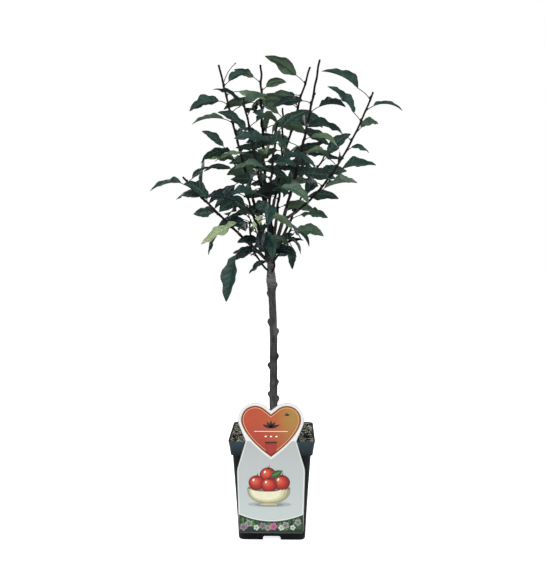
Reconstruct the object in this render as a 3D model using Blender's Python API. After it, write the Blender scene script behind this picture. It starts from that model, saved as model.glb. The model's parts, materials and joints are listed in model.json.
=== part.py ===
"""A dwarf apple tree in a square nursery pot, with the card that hangs on the pot's rim.

A young half-standard: a bare stem with its graft near the top, a head of long whips whose tips
are cut off, and large drooping leaves. Metres, +Z up. The origin is under the middle of the pot,
and the card hangs on the -Y side, which is the front.
"""

import math
import random
from collections import namedtuple

import bmesh
import bpy
from mathutils import Matrix, Vector
from mathutils.bvhtree import BVHTree

GAP = 0.0003

# Pot
POT_HEIGHT = 0.2185
RIM_SIDE = 0.184
COLLAR_HEIGHT = 0.032
COLLAR_FOOT_SIDE = 0.1745
BODY_TOP_SIDE = 0.1665
BASE_SIDE = 0.143
POT_WALL = 0.0022
POT_FLOOR = 0.0115
POT_CORNER = 0.013
CORNER_STEPS = 4
EDGE_ROUND = 0.0006
FOOT_CHAMFER = 0.002
NOTCH_WIDTH = 0.038
NOTCH_HEIGHT = 0.009
NOTCH_DEPTH = 0.022
NOTCH_CORNER = 0.0054

# Soil
SOIL_TOP = 0.2125
SOIL_CLEARANCE = 0.0008
SOIL_RELIEF = 0.0018
SOIL_RINGS = 6
SOIL_LEVEL_RADIUS = 0.018
SOIL_LEVEL_EDGE = 0.068
SOIL_BROAD_WAVES = 88
SOIL_FINE_WAVES = 160

# Card: half-widths, and heights above the ground
CARD_X = -0.0010
CARD_THICKNESS = 0.0008
CARD_BOTTOM = 0.0235
CARD_FOOT_HALF = 0.0680
CARD_FOOT_CORNER = 0.003
CARD_SHOULDER_HALF = 0.0715
CARD_SHOULDER_Z = 0.1600
CARD_SHOULDER_ROUND = 0.008
CARD_NECK_HALF = 0.0533
CARD_NECK_Z = 0.2200
LOBE_RADIUS = 0.0361
LOBE_X = 0.0331
LOBE_Z = 0.2652
LOBE_STEPS = 12
CARD_CLEFT_Z = 0.2850
HOOK_WIDTH = 0.022
HOOK_THICKNESS = 0.0008
HOOK_DROP = 0.0055

# Trunk
TRUNK_TOP = 0.634
TRUNK_X = 0.0022
TRUNK_LEAN = 0.0067
TRUNK_LEAN_BACK = 0.002
LEAN_FROM = 0.42
LEAN_TO = 0.62
TRUNK_FOOT_RADIUS = 0.0085
TRUNK_TOP_RADIUS = 0.0067
TRUNK_TOP_ROUND = 0.0012
ROOT_FLARE = 0.0028
ROOT_FLARE_REACH = 0.013
GRAFT_Z = 0.552
GRAFT_SWELL = 0.0030
GRAFT_REACH = 0.020
TRUNK_SIDES = 12
TRUNK_STEPS = 28
STUB_FOOT_RADIUS = 0.0074
STUB_TIP_RADIUS = 0.0025
STUB_REACH = 0.0048
STUB_CLIMB = 0.45
STUB_SIDES = 7
STUBS = (
    (0.287, "E"), (0.297, "W"), (0.321, "S"), (0.324, "E"), (0.345, "N"), (0.361, "W"), (0.382, "E"),
    (0.403, "N"), (0.422, "S"), (0.437, "E"), (0.458, "W"), (0.480, "N"), (0.521, "W"), (0.538, "E"),
)

# Limbs
LIMB_SIDES = 6
BOUGH_STEPS = 6
SEAT_GAP = 1.2 * GAP
SPUR_BARE = 0.3
ZIGZAG = 0.0013

# Leaves: a pair of numbers is the least and the most, and angles are in degrees
LEAF_LENGTH = 0.069
LEAF_SIZES = (0.88, 1.08)
LARGE_LEAF = 0.22
SMALL_LEAF = 0.32
LEAF_SLIMNESS = 0.46
LEAF_WIDTHS = (0.88, 1.10)
LEAF_RISE = 16
RAISED_LEAF = 34
HANGING_LEAF = 46
SWAY = 14
FALLS = (24, 72)
HANGING_FALL = 16
FOLDS = (12, 34)
TWISTS = (-30, 30)
RIPPLES = (0.05, 0.16)
ROLLS = (18, 62)
INWARD_ROLLS = 0.12
SHOWN_ROLL = 15
FRONT_TURN = -0.03
RIB_THICKNESS = 0.0017
STALK_LENGTH = 0.024
STALK_LENGTHS = (0.75, 1.30)
STALK_CLIMB = 20
STALK_RADIUS = 0.0011
STALK_STEPS = 2
BLADE_STEPS = 5
ELBOW_ROOM = 0.0012
HEADINGS = {"E": 0, "NE": 45, "N": 90, "NW": 135, "W": 180, "SW": 225, "S": 270, "SE": 315}
SIDE_STEPS = (0, 18, -18, 36, -36, 54, -54)

# A shoot leaves its parent at join: a height on the trunk, a share of the length on another shoot.
# It runs through middle to tip, and is bare up to the share leafy[0] of its length. Its leaves are
# listed from its foot up, each with the side that it points to (S is the front). After that, ^ is a
# raised leaf, v a hanging one, vv one that hangs straight down, + a large one, - a small one, and
# ! one that shows its underside to the front.
Shoot = namedtuple("Shoot", "name parent join middle tip widths leafy leaves")
SHOOTS = (
    Shoot("centre", "trunk", 0.6260, (-0.0205, 0.030, 0.828), (-0.0271, 0.055, 1.0305),
          (0.0076, 0.0046), (0.18, 0.92), "E W E S+ W NW Ev E+ N S+ W E E^- W^-"),
    Shoot("left", "trunk", 0.6000, (-0.0620, 0.015, 0.800), (-0.1188, 0.030, 1.0253),
          (0.0070, 0.0044), (0.26, 0.92), "S E Wv E+ W W+ E N^- E- W E+ W E E^-"),
    Shoot("inner", "centre", 0.12, (-0.0330, -0.020, 0.800), (-0.0611, -0.045, 0.9399),
          (0.0062, 0.0042), (0.22, 0.97), "SW S E W SE W^ NE^ N^ W^"),
    Shoot("right_back", "centre", 0.065, (0.0202, 0.045, 0.8084), (0.0840, 0.100, 1.0357),
          (0.0064, 0.0044), (0.28, 0.95), "NE N W+ E^+ W W+ Ev NE W+ W- W^+"),
    Shoot("right", "trunk", 0.5970, (0.0577, -0.025, 0.8131), (0.0998, -0.045, 1.0188),
          (0.0074, 0.0044), (0.26, 0.84), "W S E SW E W E S W SE W E^-"),
    Shoot("arching", "right", 0.20, (0.1252, -0.035, 0.7792), (0.2108, -0.060, 0.9484),
          (0.0056, 0.0040), (0.16, 0.99), "E W S- E W^ N- E- W^+ E^- W^+ E W^+"),
    Shoot("low_left", "trunk", 0.5900, (-0.1017, -0.020, 0.6833), (-0.1904, -0.040, 0.7752),
          (0.0062, 0.0042), (0.24, 0.97), "S Wv N W W^ W N^^ W E^-"),
    Shoot("back", "trunk", 0.6020, (0.0150, 0.100, 0.7700), (0.0211, 0.170, 0.9550),
          (0.0066, 0.0042), (0.26, 0.96), "E W N SE W N E W N E NW^"),
    Shoot("front", "trunk", 0.5940, (-0.0030, -0.090, 0.7200), (0.0123, -0.150, 0.8736),
          (0.0064, 0.0042), (0.18, 0.96), "Wv Ev Sv+ W E S W E S W E^"),
    Shoot("back_right", "trunk", 0.5880, (0.0600, 0.090, 0.7300), (0.1200, 0.160, 0.8400),
          (0.0058, 0.0040), (0.28, 0.97), "E N E W N E N W E^"),
    Shoot("back_left", "trunk", 0.5800, (-0.0600, 0.080, 0.7400), (-0.1100, 0.150, 0.8600),
          (0.0058, 0.0040), (0.28, 0.97), "W N W E N W N E W^"),
    Shoot("low_front", "trunk", 0.5780, (-0.0200, -0.060, 0.6500), (-0.0500, -0.130, 0.7100),
          (0.0052, 0.0038), (0.22, 0.97), "W- E- Sv Sv W E S E W"),
    Shoot("spur_left", "trunk", 0.5700, (-0.0400, -0.030, 0.6200), (-0.0450, -0.046, 0.6850),
          (0.0046, 0.0034), (0.0, 0.99), "W- Wvv++ S SE^-! Wv!+"),
    Shoot("spur_right", "trunk", 0.5830, (0.0200, -0.012, 0.6240), (0.0400, -0.020, 0.6660),
          (0.0044, 0.0034), (0.0, 0.97), "E-- SE-- SEvv- E Ev-"),
    Shoot("spur_front", "trunk", 0.5660, (0.0050, -0.030, 0.6120), (-0.0060, -0.050, 0.7000),
          (0.0044, 0.0034), (0.0, 0.97), "Wv- SW E- SWv+ SEv+ Sv+"),
    Shoot("spur_back", "trunk", 0.5680, (0.0000, 0.034, 0.6000), (0.0040, 0.058, 0.6320),
          (0.0044, 0.0034), (0.0, 0.97), "N- NE- NW- N E^-"),
)
SHOOT = {shoot.name: shoot for shoot in SHOOTS}

# Colours: name, base colour, roughness
FINISHES = {
    "pot_plastic": ((0.030, 0.038, 0.040), 0.42),
    "soil": ((0.060, 0.042, 0.030), 0.95),
    "card": ((0.780, 0.800, 0.800), 0.35),
    "bark": ((0.075, 0.062, 0.055), 0.80),
    "leaf": ((0.040, 0.085, 0.045), 0.50),
}


def smooth(share):
    """Rises from 0 to 1 with level ends."""
    share = min(max(share, 0.0), 1.0)
    return share * share * (3 - 2 * share)


def clear_scene():
    for obj in list(bpy.data.objects):
        bpy.data.objects.remove(obj, do_unlink=True)


def new_collection(name):
    group = bpy.data.collections.new(name)
    bpy.context.scene.collection.children.link(group)
    return group


def make_materials():
    made = {}
    for name, (colour, roughness) in FINISHES.items():
        material = bpy.data.materials.new(name)
        material.use_nodes = True
        shader = material.node_tree.nodes["Principled BSDF"]
        shader.inputs["Base Color"].default_value = (*colour, 1.0)
        shader.inputs["Roughness"].default_value = roughness
        shader.inputs["Metallic"].default_value = 0.0
        made[name] = material
    return made


def from_bmesh(name, bm, group):
    """An object made from a bmesh, with its faces turned outwards. The bmesh is freed."""
    bmesh.ops.recalc_face_normals(bm, faces=bm.faces)
    if bm.calc_volume(signed=True) < 0:
        bmesh.ops.reverse_faces(bm, faces=bm.faces)
    mesh = bpy.data.meshes.new(name)
    bm.to_mesh(mesh)
    bm.free()
    obj = bpy.data.objects.new(name, mesh)
    group.objects.link(obj)
    return obj


def evaluated_mesh(obj):
    graph = bpy.context.evaluated_depsgraph_get()
    return bpy.data.meshes.new_from_object(obj.evaluated_get(graph))


def apply_modifiers(obj):
    mesh = evaluated_mesh(obj)
    obj.modifiers.clear()
    obj.data = mesh


def curve_to_solid(curve_object, group):
    """A mesh object in place of a curve, with its caps welded on."""
    name = curve_object.name
    bm = bmesh.new()
    bm.from_mesh(evaluated_mesh(curve_object))
    bmesh.ops.transform(bm, matrix=curve_object.matrix_world, verts=bm.verts)
    bpy.data.objects.remove(curve_object, do_unlink=True)
    bmesh.ops.remove_doubles(bm, verts=bm.verts, dist=1e-6)
    return from_bmesh(name, bm, group)


def tube(name, points, radii, sides, group):
    """A limb of round section through the points, with a radius at each."""
    curve = bpy.data.curves.new(name, "CURVE")
    curve.dimensions = "3D"
    curve.bevel_depth = 1.0
    curve.bevel_resolution = (sides - 4) // 2
    curve.use_fill_caps = True
    spline = curve.splines.new("POLY")
    spline.points.add(len(points) - 1)
    for knot, point, radius in zip(spline.points, points, radii):
        knot.co = (*point, 1.0)
        knot.radius = radius
    obj = bpy.data.objects.new(name, curve)
    group.objects.link(obj)
    return curve_to_solid(obj, group)


def plate(name, outline, thickness, group):
    """A flat piece of an even thickness, from an outline in its own XY plane."""
    curve = bpy.data.curves.new(name, "CURVE")
    curve.dimensions = "2D"
    curve.fill_mode = "BOTH"
    curve.extrude = thickness / 2
    spline = curve.splines.new("POLY")
    spline.points.add(len(outline) - 1)
    for knot, point in zip(spline.points, outline):
        knot.co = (*point, 0.0, 1.0)
    spline.use_cyclic_u = True
    obj = bpy.data.objects.new(name, curve)
    group.objects.link(obj)
    return obj


def boolean(obj, operation, other=None, collection=None):
    """Cuts or joins with one object or with a whole collection, and removes what was used."""
    step = obj.modifiers.new(operation.lower(), "BOOLEAN")
    step.operation = operation
    step.solver = "EXACT"
    if collection is None:
        step.object = other
        used = [other]
    else:
        step.operand_type = "COLLECTION"
        step.collection = collection
        used = list(collection.objects)
    bpy.context.view_layer.update()
    apply_modifiers(obj)
    for helper in used:
        bpy.data.objects.remove(helper, do_unlink=True)


def finish(obj, material, smooth_angle=40):
    """Gives a finished piece its material and smooth shading."""
    obj.data.materials.clear()
    obj.data.materials.append(material)
    obj.data.shade_smooth()
    obj.data.set_sharp_from_angle(angle=math.radians(smooth_angle))


def square_ring(bm, side, corner, height):
    """A level square loop of vertices with rounded corners; height is a function of x and y."""
    ring = []
    reach = side / 2 - corner
    for quarter in range(4):
        middle = math.radians(45 + 90 * quarter)
        x = math.copysign(reach, math.cos(middle))
        y = math.copysign(reach, math.sin(middle))
        for step in range(CORNER_STEPS + 1):
            angle = math.radians(90 * quarter + 90 * step / CORNER_STEPS)
            px = x + corner * math.cos(angle)
            py = y + corner * math.sin(angle)
            ring.append(bm.verts.new((px, py, height(px, py))))
    return ring


def loft(bm, rings):
    """Joins the rings one after the other, and closes the first and the last."""
    for low, high in zip(rings, rings[1:]):
        for i in range(len(low)):
            j = (i + 1) % len(low)
            bm.faces.new((low[i], low[j], high[j], high[i]))
    bm.faces.new(rings[0])
    bm.faces.new(rings[-1])


def level(z):
    return lambda x, y: z


def pot_side(z):
    """The pot's outer side at a height below its collar."""
    share = z / (POT_HEIGHT - COLLAR_HEIGHT)
    return BASE_SIDE + (BODY_TOP_SIDE - BASE_SIDE) * share


def inner_side(z):
    return pot_side(z) - 2 * POT_WALL


def make_notch(quarter, cutters):
    """The cutter of one drain notch, a low arch with rounded upper corners."""
    bm = bmesh.new()
    bmesh.ops.create_cube(bm, size=1.0)
    bmesh.ops.scale(bm, vec=(NOTCH_WIDTH, 2 * NOTCH_DEPTH, 2 * NOTCH_HEIGHT), verts=bm.verts)
    upper = [
        edge for edge in bm.edges
        if all(vert.co.z > 0 for vert in edge.verts) and edge.verts[0].co.x == edge.verts[1].co.x
    ]
    bmesh.ops.bevel(bm, geom=upper, offset=NOTCH_CORNER, segments=3, profile=0.5, affect="EDGES")
    notch = from_bmesh("notch", bm, cutters)
    turned = Matrix.Rotation(math.radians(90 * quarter), 4, "Z")
    notch.matrix_world = turned @ Matrix.Translation((0.0, -BASE_SIDE / 2, 0.0))
    notch.display_type = "WIRE"
    notch.hide_render = True
    return notch


def make_pot(group, cutters):
    """The tapering pot with its wider collar, a moulded floor, and a drain notch in each side."""
    collar_z = POT_HEIGHT - COLLAR_HEIGHT
    wall = 2 * POT_WALL
    corner = POT_CORNER
    inside = corner - POT_WALL
    bm = bmesh.new()
    rings = [
        square_ring(bm, BASE_SIDE - 2 * FOOT_CHAMFER, corner, level(0.0)),
        square_ring(bm, BASE_SIDE, corner, level(FOOT_CHAMFER)),
        square_ring(bm, BODY_TOP_SIDE, corner, level(collar_z - EDGE_ROUND)),
        square_ring(bm, COLLAR_FOOT_SIDE, corner, level(collar_z)),
        square_ring(bm, RIM_SIDE, corner, level(POT_HEIGHT - EDGE_ROUND)),
        square_ring(bm, RIM_SIDE - 2 * EDGE_ROUND, corner, level(POT_HEIGHT)),
        square_ring(bm, RIM_SIDE - wall, inside, level(POT_HEIGHT)),
        square_ring(bm, COLLAR_FOOT_SIDE - wall, inside, level(collar_z + POT_WALL)),
        square_ring(bm, inner_side(collar_z), inside, level(collar_z + POT_WALL / 2)),
        square_ring(bm, inner_side(POT_FLOOR), inside, level(POT_FLOOR)),
    ]
    loft(bm, rings)
    pot = from_bmesh("pot", bm, group)
    for quarter in range(4):
        boolean(pot, "DIFFERENCE", make_notch(quarter, cutters))
    return pot


def soil_height(x, y):
    """Uneven soil, level where the trunk stands on it and along the pot's wall."""
    from_trunk = smooth(math.hypot(x, y) / SOIL_LEVEL_RADIUS - 1)
    to_wall = smooth((max(abs(x), abs(y)) - SOIL_LEVEL_EDGE) / SOIL_LEVEL_RADIUS)
    broad = math.sin(SOIL_BROAD_WAVES * x + 0.6) * math.cos(SOIL_BROAD_WAVES * y)
    fine = math.sin(SOIL_FINE_WAVES * (x + y)) / 2
    return SOIL_TOP + SOIL_RELIEF * from_trunk * (1 - to_wall) * (broad + fine)


def make_soil(group):
    """Potting soil that fills the pot to just under its rim."""
    collar_z = POT_HEIGHT - COLLAR_HEIGHT
    spare = SOIL_CLEARANCE
    corner = POT_CORNER - POT_WALL
    low, seat = POT_FLOOR + GAP, collar_z + POT_WALL + 2 * GAP
    top_side = COLLAR_FOOT_SIDE + (RIM_SIDE - COLLAR_FOOT_SIDE) * (SOIL_TOP - collar_z) / COLLAR_HEIGHT
    top_side -= 2 * (POT_WALL + spare)
    bm = bmesh.new()
    rings = [
        square_ring(bm, inner_side(low) - spare, corner, level(low)),
        square_ring(bm, inner_side(collar_z) - spare, corner, level(seat)),
        square_ring(bm, COLLAR_FOOT_SIDE - 2 * POT_WALL - spare, corner, level(seat)),
    ]
    for ring in range(SOIL_RINGS):
        side = top_side * (1 - ring / SOIL_RINGS)
        rings.append(square_ring(bm, side, min(corner, side / 3), soil_height))
    loft(bm, rings)
    return from_bmesh("soil", bm, group)


def card_outline():
    """The card's outline: a panel with sloping shoulders, and the heart's two lobes above it."""
    to_neck = math.atan2(CARD_NECK_Z - LOBE_Z, CARD_NECK_HALF - LOBE_X)
    reach = math.hypot(CARD_NECK_Z - LOBE_Z, CARD_NECK_HALF - LOBE_X)
    leaves_at = to_neck + math.acos(LOBE_RADIUS / reach)
    to_cleft = math.atan2(CARD_CLEFT_Z - LOBE_Z, -LOBE_X)
    cleft_reach = math.hypot(CARD_CLEFT_Z - LOBE_Z, LOBE_X)
    starts_at = to_cleft - math.acos(LOBE_RADIUS / cleft_reach)
    turn = CARD_SHOULDER_ROUND
    half = [
        (CARD_FOOT_HALF - CARD_FOOT_CORNER, CARD_BOTTOM),
        (CARD_FOOT_HALF, CARD_BOTTOM + CARD_FOOT_CORNER),
        (CARD_SHOULDER_HALF, CARD_SHOULDER_Z - turn),
        (CARD_SHOULDER_HALF - turn / 20, CARD_SHOULDER_Z),
        (CARD_SHOULDER_HALF - turn / 3.6, CARD_SHOULDER_Z + turn * 0.9),
        (CARD_NECK_HALF, CARD_NECK_Z),
    ]
    for step in range(LOBE_STEPS + 1):
        angle = leaves_at + (starts_at - leaves_at) * step / LOBE_STEPS
        half.append((LOBE_X + LOBE_RADIUS * math.cos(angle), LOBE_Z + LOBE_RADIUS * math.sin(angle)))
    mirrored = [(-x, z) for x, z in reversed(half)]
    return half + [(0.0, CARD_CLEFT_Z)] + mirrored


def hook_outline():
    """The hook's side view: out of the card, over the rim and down the sloping wall inside it (y, z)."""
    front = -RIM_SIDE / 2 - GAP - CARD_THICKNESS / 2
    inner = -RIM_SIDE / 2 + POT_WALL + 2 * GAP
    slope = (RIM_SIDE - COLLAR_FOOT_SIDE) / 2 / COLLAR_HEIGHT * HOOK_DROP
    over = POT_HEIGHT + GAP
    back = inner + HOOK_THICKNESS
    low = POT_HEIGHT - HOOK_DROP
    return [(front, over), (inner, over), (inner + slope, low), (back + slope, low),
            (back, over + HOOK_THICKNESS), (front, over + HOOK_THICKNESS)]


def make_card(group):
    """The card, hanging flat in front of the rim by a hook that goes over it."""
    middle = -RIM_SIDE / 2 - GAP - CARD_THICKNESS / 2
    flat = plate("card", card_outline(), CARD_THICKNESS, group)
    flat.matrix_world = Matrix.Translation((CARD_X, middle, 0.0)) @ Matrix.Rotation(math.pi / 2, 4, "X")
    bpy.context.view_layer.update()
    card = curve_to_solid(flat, group)
    strip = plate("card_hook", hook_outline(), HOOK_WIDTH, group)
    turn = Matrix(((0, 0, 1, CARD_X), (1, 0, 0, 0), (0, 1, 0, 0), (0, 0, 0, 1)))
    strip.matrix_world = turn
    bpy.context.view_layer.update()
    boolean(card, "UNION", curve_to_solid(strip, group))
    return card


def trunk_axis(z):
    """The trunk's middle at a height: upright, then leaning a little to the left."""
    lean = smooth((z - LEAN_FROM) / (LEAN_TO - LEAN_FROM))
    return Vector((TRUNK_X - TRUNK_LEAN * lean, TRUNK_LEAN_BACK * lean, z))


def trunk_radius(z):
    """A slight taper, a flare at the soil and the swelling of the graft."""
    foot = SOIL_TOP + GAP
    share = (z - foot) / (TRUNK_TOP - foot)
    taper = TRUNK_FOOT_RADIUS + (TRUNK_TOP_RADIUS - TRUNK_FOOT_RADIUS) * share
    flare = ROOT_FLARE * math.exp(-(z - foot) / ROOT_FLARE_REACH)
    graft = GRAFT_SWELL * math.exp(-((z - GRAFT_Z) / GRAFT_REACH) ** 2)
    return taper + flare + graft


def trunk_tube(name, swell, group):
    """The trunk from the soil to its fork, thicker all round by swell where it is a cutter."""
    foot = SOIL_TOP + GAP
    heights = [foot + (TRUNK_TOP - foot) * (i / TRUNK_STEPS) ** 1.1 for i in range(TRUNK_STEPS + 1)]
    points = [trunk_axis(z) for z in heights]
    points[-1] += Vector((0, 0, swell))
    radii = [trunk_radius(z) + swell for z in heights]
    radii[-1] -= TRUNK_TOP_ROUND
    return tube(name, points, radii, TRUNK_SIDES, group)


def make_trunk(group, cutters):
    """The trunk, with the stubs of the side shoots that were pruned off it."""
    trunk = trunk_tube("trunk", 0.0, group)
    for z, side in STUBS:
        angle = math.radians(HEADINGS[side])
        out = Vector((math.cos(angle), math.sin(angle), STUB_CLIMB)).normalized()
        length = trunk_radius(z) + STUB_REACH
        bm = bmesh.new()
        place = Matrix.Translation(trunk_axis(z) + out * length / 2)
        place @= out.to_track_quat("Z", "Y").to_matrix().to_4x4()
        bmesh.ops.create_cone(bm, cap_ends=True, segments=STUB_SIDES, radius1=STUB_FOOT_RADIUS,
                              radius2=STUB_TIP_RADIUS, depth=length, matrix=place)
        from_bmesh("stub", bm, cutters)
    boolean(trunk, "UNION", collection=cutters)
    return trunk


def foot_of(shoot):
    if shoot.parent == "trunk":
        return trunk_axis(shoot.join)
    return along(SHOOT[shoot.parent], shoot.join)


def along(shoot, share):
    """A point on a shoot, which bends evenly from foot to tip and turns a little at each leaf."""
    foot, middle, tip = foot_of(shoot), Vector(shoot.middle), Vector(shoot.tip)
    pull = 2 * middle - (foot + tip) / 2
    point = foot * (1 - share) ** 2 + pull * 2 * share * (1 - share) + tip * share ** 2
    start, end = shoot.leafy
    if share > start:
        turns = len(shoot.leaves.split()) * (share - start) / (end - start)
        sideways = (tip - foot).cross(Vector((0, 0, 1))).normalized()
        point += sideways * ZIGZAG * math.sin(math.pi * turns)
    return point


def heading_along(shoot, share):
    step = 0.02
    return (along(shoot, min(share + step, 1)) - along(shoot, share - step)).normalized()


def leaf_shares(shoot):
    """Where on a shoot its leaves stand, as shares of its length."""
    count = len(shoot.leaves.split())
    start, end = shoot.leafy
    start = max(start, SPUR_BARE)
    return [start + (end - start) * (i + 0.5) / count for i in range(count)]


def limb(name, shoot, shares, swell, group):
    """A stretch of a shoot, as a tapering tube with a ring at each share of the shoot's length."""
    wide, narrow = shoot.widths
    radii = [(wide + (narrow - wide) * share) / 2 + swell for share in shares]
    return tube(name, [along(shoot, share) for share in shares], radii, LIMB_SIDES, group)


def cut_at_parent(piece, shoot, cutters):
    """Seats a limb's foot on its parent, a hair's breadth clear of it."""
    if shoot.parent == "trunk":
        cutter = trunk_tube("parent", SEAT_GAP, cutters)
    else:
        parent = SHOOT[shoot.parent]
        cutter = limb("parent", parent, bough_shares(parent), SEAT_GAP, cutters)
    boolean(piece, "DIFFERENCE", cutter)


def bough_shares(shoot):
    return [shoot.leafy[0] * i / BOUGH_STEPS for i in range(BOUGH_STEPS + 1)]


def make_bough(shoot, group, cutters):
    bough = limb("bough_" + shoot.name, shoot, bough_shares(shoot), 0.0, group)
    cut_at_parent(bough, shoot, cutters)
    return bough


def make_twig(shoot, group, cutters):
    """The leafy part of a shoot without its leaves, a hair's breadth clear of what carries it."""
    start = shoot.leafy[0]
    if start > 0:
        length = (along(shoot, start + 0.01) - along(shoot, start)).length / 0.01
        start += 1.5 * GAP / length
    twig = limb("foliage_" + shoot.name, shoot, [start, *leaf_shares(shoot), 1.0], 0.0, group)
    if start == 0:
        cut_at_parent(twig, shoot, cutters)
    return twig


class Leaf:
    """One leaf: its stalk leaves the twig at joint, and its blade arches over and folds along its rib."""

    def __init__(self, shoot, share, mark, chance, turn):
        side = mark.rstrip("^v+-!")
        heading = math.radians(HEADINGS[side] + SWAY * chance.uniform(-1, 1) + turn)
        size = 1.0 + LARGE_LEAF * mark.count("+") - SMALL_LEAF * mark.count("-")
        size *= chance.uniform(*LEAF_SIZES)
        self.length = LEAF_LENGTH * size
        self.half_width = self.length * LEAF_SLIMNESS * chance.uniform(*LEAF_WIDTHS) / 2
        rise = LEAF_RISE + RAISED_LEAF * mark.count("^") - HANGING_LEAF * mark.count("v")
        self.rise = math.radians(rise + SWAY * chance.uniform(-1, 1))
        self.fall = math.radians(chance.uniform(*FALLS) - HANGING_FALL * mark.count("v"))
        self.fold = math.radians(chance.uniform(*FOLDS))
        self.twist = math.radians(chance.uniform(*TWISTS))
        self.ripple = chance.uniform(*RIPPLES)
        self.phase = chance.uniform(0, math.tau)
        self.out = Vector((math.cos(heading), math.sin(heading), 0.0))
        self.across = Vector((-math.sin(heading), math.cos(heading), 0.0))
        self.joint = along(shoot, share)
        self.growth = heading_along(shoot, share)
        stalk = STALK_LENGTH * size * chance.uniform(*STALK_LENGTHS)
        climb = self.rise / 2 + math.radians(STALK_CLIMB)
        self.base = self.joint + stalk * (self.out * math.cos(climb) + Vector((0, 0, math.sin(climb))))
        roll = chance.uniform(*ROLLS) * (-1 if chance.random() < INWARD_ROLLS else 1)
        if "!" in mark:
            roll = -roll - SHOWN_ROLL
        outward = Vector((self.joint.x, self.joint.y + FRONT_TURN, 0.0))
        self.roll = math.radians(roll) * (1 if self.across.dot(outward) < 0 else -1)

    def rib(self, share):
        """A point on the midrib, which bends down evenly."""
        now = self.rise - self.fall * share
        forward = (math.sin(self.rise) - math.sin(now)) / self.fall
        upward = (math.cos(now) - math.cos(self.rise)) / self.fall
        return self.base + self.length * (self.out * forward + Vector((0, 0, upward)))

    def breadth(self, share):
        """Half the blade's width: egg-shaped, with a drawn-out tip."""
        swell = max(math.sin(math.pi * share ** 0.82), 0.0) ** 0.9
        return self.half_width * swell * (1.06 - 0.16 * share) + 0.3 * STALK_RADIUS

    def spot(self, share, across, lift):
        """A point of the blade: across runs from -1 to 1 over its width, lift stands off its face."""
        now = self.rise - self.fall * share
        roll = self.roll + self.twist * (share - 0.3)
        normal = Vector((0, 0, math.cos(now))) - self.out * math.sin(now)
        flat = self.across * math.cos(roll) + normal * math.sin(roll)
        over = normal * math.cos(roll) - self.across * math.sin(roll)
        reach = self.breadth(share)
        ripple = self.ripple * math.sin(9 * share + self.phase)
        height = abs(across) * reach * (math.sin(self.fold) + ripple) + lift
        return self.rib(share) + flat * across * reach * math.cos(self.fold) + over * height

    def stalk(self, share):
        """A point on the stalk, which leaves the twig steeply and ends in the blade's rib."""
        reach = (self.base - self.joint).length
        pull = self.joint + self.growth * 0.40 * reach + self.out * 0.35 * reach
        return self.joint * (1 - share) ** 2 + pull * 2 * share * (1 - share) + self.base * share ** 2

    def stalk_ring(self, share):
        """The stalk's four-sided section, which turns with the blade towards its end."""
        middle = self.stalk(share)
        run = (self.stalk(share + 0.05) - self.stalk(share - 0.05)).normalized()
        upward = self.across.cross(run).normalized() * -1
        roll = self.roll * share
        side = self.across * math.cos(roll) + upward * math.sin(roll)
        over = upward * math.cos(roll) - self.across * math.sin(roll)
        corners = (-side, -over, side, over)
        return [middle + corner * STALK_RADIUS for corner in corners]

    def blade_ring(self, share):
        """The blade's section: its two edges, and its rib below and above."""
        thin = RIB_THICKNESS / 2 * (1 - 0.6 * share)
        return [self.spot(share, -1, 0), self.spot(share, 0, -thin),
                self.spot(share, 1, 0), self.spot(share, 0, thin)]


def split_from_edge_to_rib(bm, rings):
    """Halves each face the same way above and below, so that a twisted blade's sides never cross."""
    for low, high in zip(rings, rings[1:]):
        for i in range(4):
            edge, rib = (i, (i + 1) % 4) if i % 2 == 0 else ((i + 1) % 4, i)
            corners = {low[edge], high[edge], high[rib]}
            face = next(face for face in low[i].link_faces if corners <= set(face.verts))
            bmesh.utils.face_split(face, low[edge], high[rib])


def leaf_solid(name, leaf, group):
    """A leaf with its stalk, lofted from the twig to the tip."""
    sections = [leaf.stalk_ring(step / STALK_STEPS) for step in range(STALK_STEPS)]
    sections += [leaf.blade_ring(step / BLADE_STEPS) for step in range(BLADE_STEPS + 1)]
    bm = bmesh.new()
    rings = [[bm.verts.new(point) for point in section] for section in sections]
    loft(bm, rings)
    split_from_edge_to_rib(bm, rings)
    return from_bmesh(name, bm, group)


def elbow_room(leaf):
    """The space that a leaf needs for itself: its blade and the outer half of its stalk, thickened."""
    bm = bmesh.new()
    bmesh.ops.create_grid(bm, x_segments=2, y_segments=BLADE_STEPS, size=1.0)
    doubled = bmesh.ops.extrude_face_region(bm, geom=bm.faces[:], use_keep_orig=True)["geom"]
    upper = {item for item in doubled if isinstance(item, bmesh.types.BMVert)}
    for vert in bm.verts:
        lift = ELBOW_ROOM if vert in upper else -ELBOW_ROOM
        vert.co = leaf.spot((vert.co.y + 1) / 2, vert.co.x * 1.05, lift)
    start, end = leaf.stalk(0.4), leaf.stalk(1.0)
    run = end - start
    place = Matrix.Translation((start + end) / 2) @ run.to_track_quat("Z", "Y").to_matrix().to_4x4()
    radius = STALK_RADIUS + ELBOW_ROOM
    bmesh.ops.create_cone(bm, cap_ends=True, segments=4, radius1=radius, radius2=radius,
                          depth=run.length, matrix=place)
    tree = BVHTree.FromBMesh(bm)
    bm.free()
    return tree


def limb_room(obj):
    bm = bmesh.new()
    bm.from_mesh(obj.data)
    tree = BVHTree.FromBMesh(bm)
    bm.free()
    return tree


def grow_leaves(shoot, taken):
    """The leaves of a shoot. One that would touch a limb or another leaf is turned aside, or skipped."""
    grown = []
    for index, (share, mark) in enumerate(zip(leaf_shares(shoot), shoot.leaves.split())):
        for turn in SIDE_STEPS:
            leaf = Leaf(shoot, share, mark, random.Random(f"{shoot.name} {index}"), turn)
            room = elbow_room(leaf)
            if not any(room.overlap(other) for other in taken):
                taken.append(room)
                grown.append(leaf)
                break
    return grown


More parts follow.
